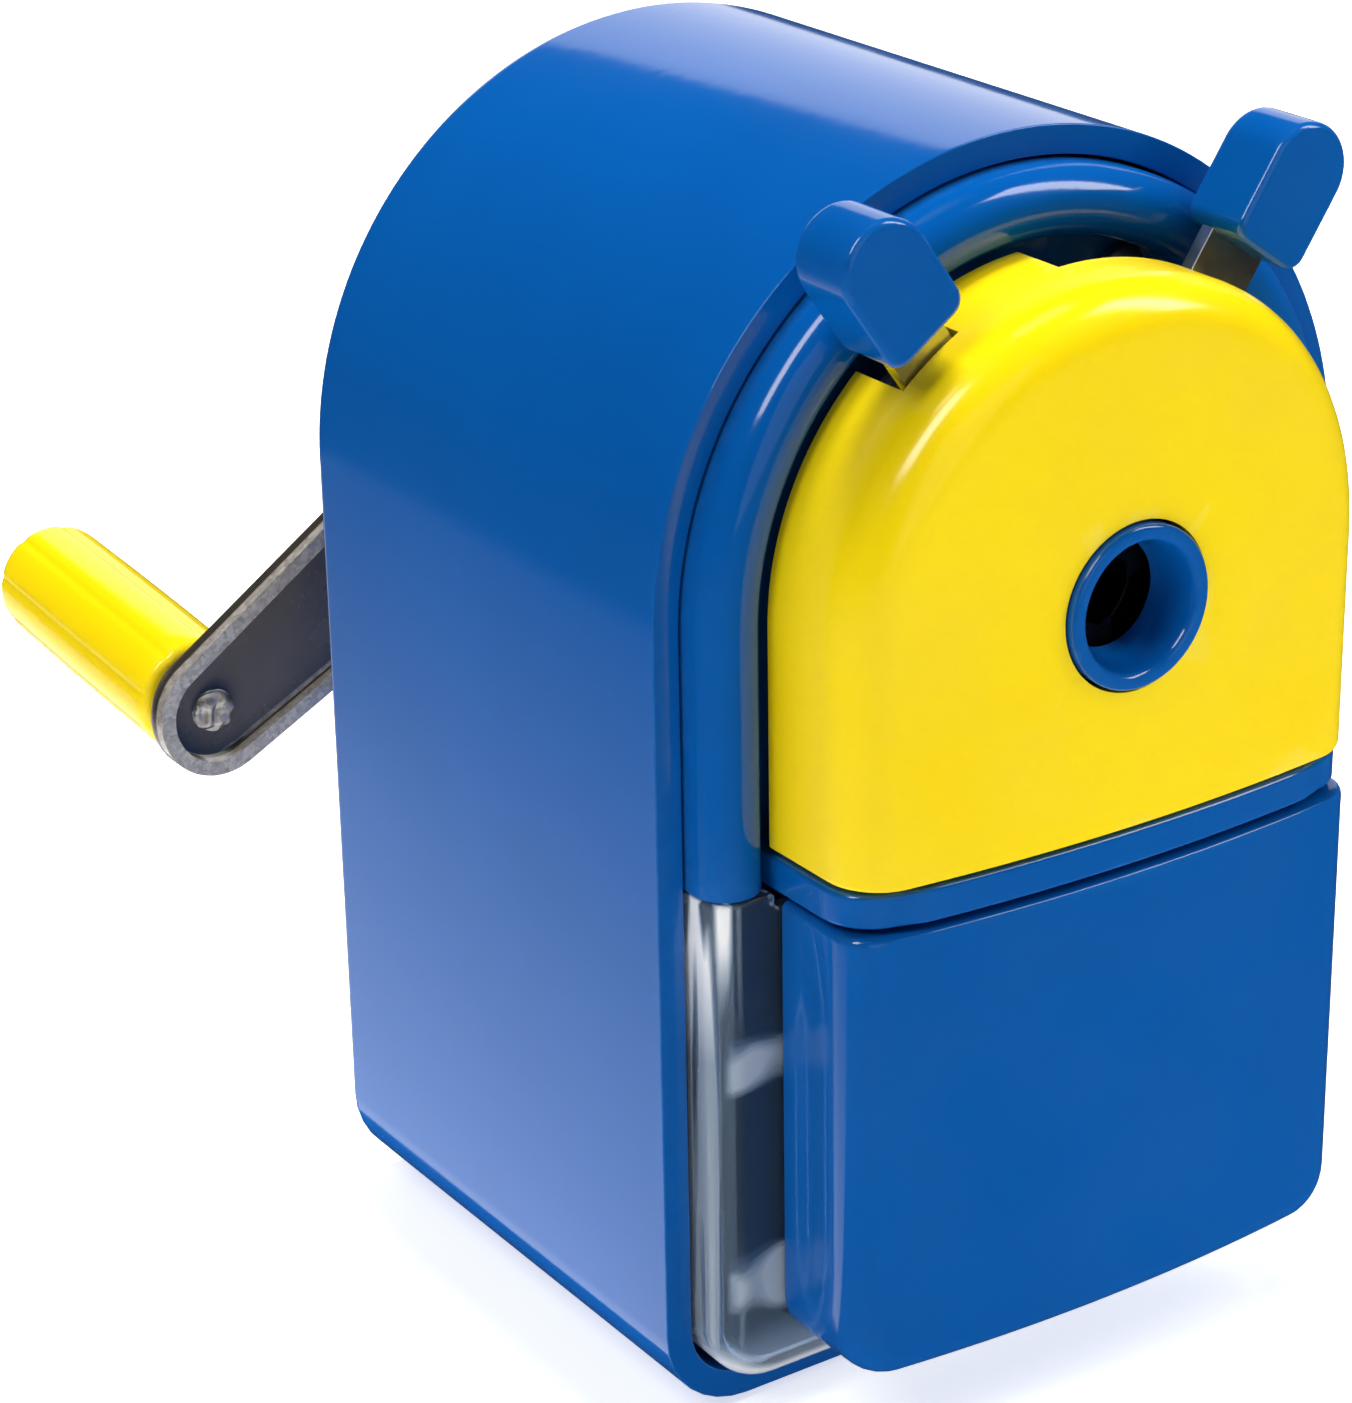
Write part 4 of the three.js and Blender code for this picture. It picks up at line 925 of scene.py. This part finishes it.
def make_cutter():
    """Helical cutter: ten undercut flutes that wind along the tilted axis."""
    base, along = cutter_line()
    spoke = Vector((1, 0, 0))
    flutes, radius, depth, bore = 10, 7.8, 1.4, 2.3
    near, far, twist, chamfer, steps = -3.4, -30.4, 2.4, 0.3, 54
    tooth = (
        (0, 0), (0.06, 0), (0.12, 0), (0.2, 0.25), (0.32, 0.7), (0.5, 1), (0.68, 0.98), (0.85, 0.72),
        (0.96, 0.3),
    )
    count = flutes * len(tooth)

    def at(station, share, r):
        """The point at this station, share of a turn and radius, turned by the twist."""
        return about(base, along, spoke, radians(360 * share + twist * (station - far)), r, station)

    def ring(station, inset):
        """The fluted outline."""
        return [
            at(station, (i + share) / flutes, radius - depth * dip - inset)
            for i in range(flutes)
            for share, dip in tooth
        ]

    def bore_ring(station):
        """The bore's circle, with as many points as the fluted outline."""
        return [at(station, i / count, bore) for i in range(count)]

    length = near - far - 2 * chamfer
    rings = [bore_ring(far), ring(far, chamfer)]
    rings += [ring(far + chamfer + length * i / steps, 0) for i in range(steps + 1)]
    rings += [ring(near, chamfer), bore_ring(near)]
    rings.append(rings[0])
    cutter = mesh_object("fluted_cutter", *skin(rings))
    finish_piece(cutter, "cutter", "tool_steel", "helical_cutter", smooth=32)


# ---- shavings drawer


def make_drawer_front():
    """Bowed cover on the drawer, with a shallow finger scoop down each side."""
    fillet, corner, least_corner, top_share, face_steps = 3.0, 5.0, 1.6, 0.14, 20
    scoop, scoop_middle, scoop_width = 0.45, -8.2, 1.7
    low, high = DRAWER_LOW, DRAWER_HIGH

    def outline(inset):
        """The cover's outline; the inset takes little off its top edge."""
        top = high.z - inset * top_share
        return tray(NOSE_HALF - inset, low.z + inset, top, max(corner - inset, least_corner))

    def scooped(outline_points, y):
        """Presses the sides in where a thumb and finger pull."""
        press = scoop * math.exp(-(((y - scoop_middle) / scoop_width) ** 2))
        points = []
        for x, z in outline_points:
            down = min(max((high.z - 3 - z) / 8, 0), 1) * min(max((z - low.z - 5) / 6, 0), 1)
            on_side = abs(x) > NOSE_HALF - 1
            points.append((x - math.copysign(press * down * on_side, x), y, z))
        return points

    rings = [scooped(outline(0), high.y - 0.6 * i) for i in range(13)]
    for s, c in quarter(8):
        depth = lambda x, z: bowed_front(x, z) + fillet * (1 - s)
        rings.append(at_depth(outline(fillet * (1 - c)), depth))
    middle = (low.z + high.z) / 2
    for i in range(1, face_steps):
        share = i / face_steps
        flat = [(x * (1 - share), z + (middle - z) * share) for x, z in outline(fillet)]
        rings.append(at_depth(flat, bowed_front))
    front = mesh_object("blue_drawer_front", *skin(rings, cap_last=True))
    thicken(front, NOSE_WALL)
    round_edges(front, 0.4, 3, 50)
    finish_piece(front, "drawer", "blue_plastic", "drawer_front")


def make_drawer_body():
    """Clear open tray whose front wall shows as a lobe beside each side of the cover."""
    rounding, corner, rim = 2.8, 6.0, 51.3
    low, high = TRAY_LOW, TRAY_HIGH
    lobe_inner = NOSE_HALF + GAP

    def u_outline(inset, top):
        """The tray's U from its right top, under its floor, to its left top."""
        half, foot = -low.x - inset, low.z + inset
        turn = -low.x - corner
        right = [(half, top)] + line((half, top), (half, low.z + corner), 12)
        right += reversed(arc(turn, low.z + corner, corner - inset, -90, 0, 8))
        right += line((turn, foot), (0, foot), 10)
        return right + [(0, foot)] + [(-x, z) for x, z in reversed(right)]

    rings = []
    for s, c in quarter(6):
        rings.append(at_depth(u_outline(rounding * (1 - s), rim), high.y - rounding * (1 - c)))
    rings += [at_depth(u_outline(0, rim), y) for y in (44, 30, 16, 6, 1.4)]
    rings += [at_depth(u_outline(0, high.z), y) for y in (0.9, -0.4)]
    for s, c in quarter(7):
        rings.append(at_depth(u_outline(rounding * (1 - c), high.z), low.y + rounding * (1 - s)))
    points, faces = skin(rings, closed=False)
    count, extra = len(rings[0]), len(points)
    last = extra - count
    points += [(-lobe_inner, low.y, high.z), (-lobe_inner, low.y, rim)]
    points += [(lobe_inner, low.y, rim), (lobe_inner, low.y, high.z)]
    faces.append(tuple(range(last, extra + 4)))
    faces.append(tuple(reversed(range(count))))
    body = mesh_object("clear_drawer_tray", points, faces)
    thicken(body, TRAY_WALL)
    round_edges(body, 0.45, 3, 50)
    finish_piece(body, "drawer", "clear_plastic", "drawer_body")


# ---- turned and pressed pieces


def middle_of(node):
    """The middle of a CAD node's box, in millimetres in the casing's frame."""
    low, high = local_box(node)
    return (low + high) / 2


def make_turned_pieces():
    """Smooth lathed copies of the turned CAD nodes, each with softened edges."""
    axis, up, crank_axis = (0, 1, 0), (0, 0, 1), (0, 0, AXIS_Z)
    jobs = [
        ("rear_bush", "housing", "brass", crank_axis, axis, 0.25),
        ("nose_bush", "housing", "acetal", crank_axis, axis, 0.35),
        ("chuck_sleeve", "carriage", "brass", crank_axis, axis, 0.25),
        ("crank_shaft", "crank", "bright_steel", crank_axis, axis, 0.4),
        ("crank_washer", "crank", "bright_steel", crank_axis, axis, 0.2),
    ]
    for side, x in (("left", -ROD_X), ("right", ROD_X)):
        jobs.append((f"guide_rod_{side}", "carriage", "bright_steel", (x, 0, ROD_Z), axis, 0.3))
        jobs.append((f"rod_clip_{side}", "carriage", "bright_steel", (x, 0, ROD_Z), axis, 0.15))
    pins = [(f"frame_screw_{side}", "housing", 0.4) for side in ("left", "right")]
    pins += [(f"cap_screw_{side}", "carriage", 0.4) for side in ("left", "right")]
    pins += [(f"jaw_pin_{i}", "carriage", 0.3) for i in (1, 2, 3)]
    for node, body, soft in pins:
        middle = middle_of(node)
        jobs.append((node, body, "bright_steel", (middle.x, 0, middle.z), axis, soft))
    for node in (f"foot_{end}_{side}" for end in ("front", "rear") for side in ("left", "right")):
        middle = middle_of(node)
        jobs.append((node, "housing", "rubber", (middle.x, middle.y, 0), up, 0.5))
    base, along = cutter_line()
    jobs.append(("cutter_axle", "crank", "bright_steel", base, along, 0.4))
    # The brass chuck sleeve gets the near-black painted shade, which darkens the pencil hole.
    looks = {"chuck_sleeve": "painted_bore_shade"}
    for node, body, slot, base, direction, soft in jobs:
        profile = meridian(node, base, direction)
        profile = softened(profile, soft, profile[0][0] > 0)
        piece = mesh_object("turned_" + node, *lathe(profile, base, direction, 72))
        finish_piece(piece, body, slot, node, smooth=40, look=looks.get(node))


def make_bearing_cap():
    """Rear cap with two finger ears, its flange and boss turned smooth."""
    centre, axis = (0, 0, AXIS_Z), (0, 1, 0)
    half, rise, ear_inner, ear_outer, flange_depth, foot = 2.0, 1.3, 10.5, 17.5, 2.2, 0.6
    profile = softened(meridian("rear_bearing_cap", centre, axis), 0.5, True)
    _, high = local_box("rear_bearing_cap")
    flange = high.y - flange_depth
    levels = ((0, -foot), (0, rise - 0.6), (0.25, rise - 0.2), (0.6, rise))
    ears = []
    for side in (-1, 1):
        rings = []
        for inset, height in levels:
            outline = arc(ear_outer - half, 0, half - inset, -90, 90, 12)
            outline += arc(ear_inner + half, 0, half - inset, 90, 270, 12)
            rings.append([(side * x, flange + height, AXIS_Z + z) for x, z in outline])
        ears.append(solid(rings))
    cap = mesh_object("bearing_cap", *merged(lathe(profile, centre, axis, 128), *ears))
    finish_piece(cap, "housing", "blue_plastic", "rear_bearing_cap", smooth=40)


def make_pressed_pieces():
    """Copies of the stamped, cast and cut CAD nodes with real edge radii."""
    jobs = [
        ("carriage_plate", "carriage", "bright_steel", 0.25),
        ("chuck_lever", "chuck_ring", "bright_steel", 0.25),
        ("crank_nut", "crank", "bright_steel", 0.4),
        ("ring_gear", "housing", "zinc_casting", 0.15),
        ("cutter_pinion", "cutter", "tool_steel", 0.15),
        ("cutter_carrier", "crank", "zinc_casting", 0.35),
    ]
    jobs += [(f"chuck_jaw_{i}", f"jaw_{i}", "tool_steel", 0.2) for i in (1, 2, 3)]
    for node, body, slot, width in jobs:
        # The jaws get the near-black painted shade, which darkens the pencil hole.
        look = "painted_bore_shade" if node.startswith("chuck_jaw") else None
        piece = placed("edged_" + node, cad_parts[node].data.copy())
        bm = bmesh.new()
        bm.from_mesh(piece.data)
        bmesh.ops.remove_doubles(bm, verts=bm.verts, dist=WELD)
        bmesh.ops.dissolve_limit(bm, angle_limit=radians(1), verts=bm.verts, edges=bm.edges)
        bm.to_mesh(piece.data)
        bm.free()
        round_edges(piece, width, 2, 30)
        finish_piece(piece, body, slot, node, smooth=30, look=look)


# ---- stage


def make_stage():
    """Pale floor that glows a little, and a dim white world."""
    bpy.ops.mesh.primitive_grid_add(x_subdivisions=2, y_subdivisions=2, size=8, location=(0, 0, 0))
    floor = bpy.context.object
    floor.name = "floor"
    white = bpy.data.materials.new("pale_floor")
    white.use_nodes = True
    shader = white.node_tree.nodes["Principled BSDF"]
    shader.inputs["Base Color"].default_value = (0.93, 0.93, 0.93, 1)
    shader.inputs["Roughness"].default_value = 0.6
    shader.inputs["Emission Color"].default_value = (1, 1, 1, 1)
    shader.inputs["Emission Strength"].default_value = 0.62
    floor.data.materials.append(white)
    floor.visible_glossy = False

    world = bpy.data.worlds.new("studio")
    bpy.context.scene.world = world
    world.use_nodes = True
    background = world.node_tree.nodes["Background"]
    background.inputs["Color"].default_value = (1, 1, 1, 1)
    background.inputs["Strength"].default_value = 0.025


def softbox(name, position, target, width, height, watts, spread=180):
    """Area light at a point in millimetres in the casing's frame, facing another."""
    light = bpy.data.lights.new(name, "AREA")
    light.shape = "RECTANGLE"
    light.size, light.size_y = width * MM, height * MM
    light.energy = watts
    light.spread = radians(spread)
    lamp = placed(name, light)
    place = ORIGIN + Vector(position) * MM
    lamp.location = place
    lamp.rotation_euler = (ORIGIN + Vector(target) * MM - place).to_track_quat("-Z", "Y").to_euler()
    return lamp


def make_lights():
    """Two keys, a backdrop and a fill; a pool on the floor behind; a glow beside the casing's left."""
    top, middle = (0, 0, 100), (0, 0, 60)
    softbox("key_right", (510, -360, 600), top, 180, 560, 2.9)
    softbox("key_left", (-520, -130, 690), top, 200, 430, 2.6)
    softbox("backdrop", (360, 540, 260), (0, 20, 60), 700, 360, 0.9)
    softbox("front_fill", (-200, -760, 330), middle, 600, 600, 0.5)
    pool = softbox("pool", (120, 160, 900), (120, 160, 0), 260, 260, 1.7, 70)
    pool.visible_glossy = False
    glow = softbox("floor_glow", (-115, 135, 1), (-115, 135, 50), 150, 270, 0.2)
    glow.visible_camera = False
    fade_across(glow.data)


def fade_across(light):
    """Makes an area light brightest along one long edge and dark at the other."""
    light.use_nodes = True
    tree = light.node_tree
    shape, parts, flip, power = (
        tree.nodes.new("ShaderNode" + kind) for kind in ("NewGeometry", "SeparateXYZ", "Math", "Math")
    )
    flip.operation, flip.inputs[0].default_value = "SUBTRACT", 1.0
    power.operation, power.inputs[1].default_value = "POWER", 2.2
    tree.links.new(shape.outputs["Parametric"], parts.inputs["Vector"])
    tree.links.new(parts.outputs["X"], flip.inputs[1])
    tree.links.new(flip.outputs["Value"], power.inputs[0])
    tree.links.new(power.outputs["Value"], tree.nodes["Emission"].inputs["Strength"])


def make_camera():
    """The photograph's viewpoint; AUTO fits the sensor to the image's longer side, its height."""
    position, target = Vector((-208.05, -260.97, 204.41)), Vector((-15.72, 30.29, 55.63))
    roll = radians(-1.11)
    camera = bpy.data.cameras.new("camera")
    camera.sensor_width = 36.0
    camera.sensor_fit = "AUTO"
    camera.lens = 102.90406
    camera.clip_start, camera.clip_end = 0.01, 20
    made = placed("camera", camera)
    made.location = ORIGIN + position * MM
    look = (target - position).to_track_quat("-Z", "Y").to_matrix().to_4x4()
    made.rotation_euler = (look @ Matrix.Rotation(roll, 4, "Z")).to_euler()
    bpy.context.scene.camera = made


make_camera()
make_stage()
make_lights()
make_materials()
make_casing()
make_front_frame()
make_front_cap()
make_hole_ring()
make_tab("left_finger_tab", "left_tab", "carriage", LEFT_LEVER_ANGLE, LEFT_LEVER_FRONT)
make_tab("right_finger_tab", "right_tab", "chuck_ring", RIGHT_LEVER_ANGLE, RIGHT_LEVER_FRONT)
make_springs()
make_crank_arm()
make_grip()
make_grip_pin()
make_cutter()
make_drawer_front()
make_drawer_body()
make_turned_pieces()
make_bearing_cap()
make_pressed_pieces()
for name in ("pressed_crank_arm", "fluted_grip", "riveted_grip_pin"):
    bpy.data.objects[name].visible_glossy = False
bpy.context.scene.view_settings.view_transform = "Standard"
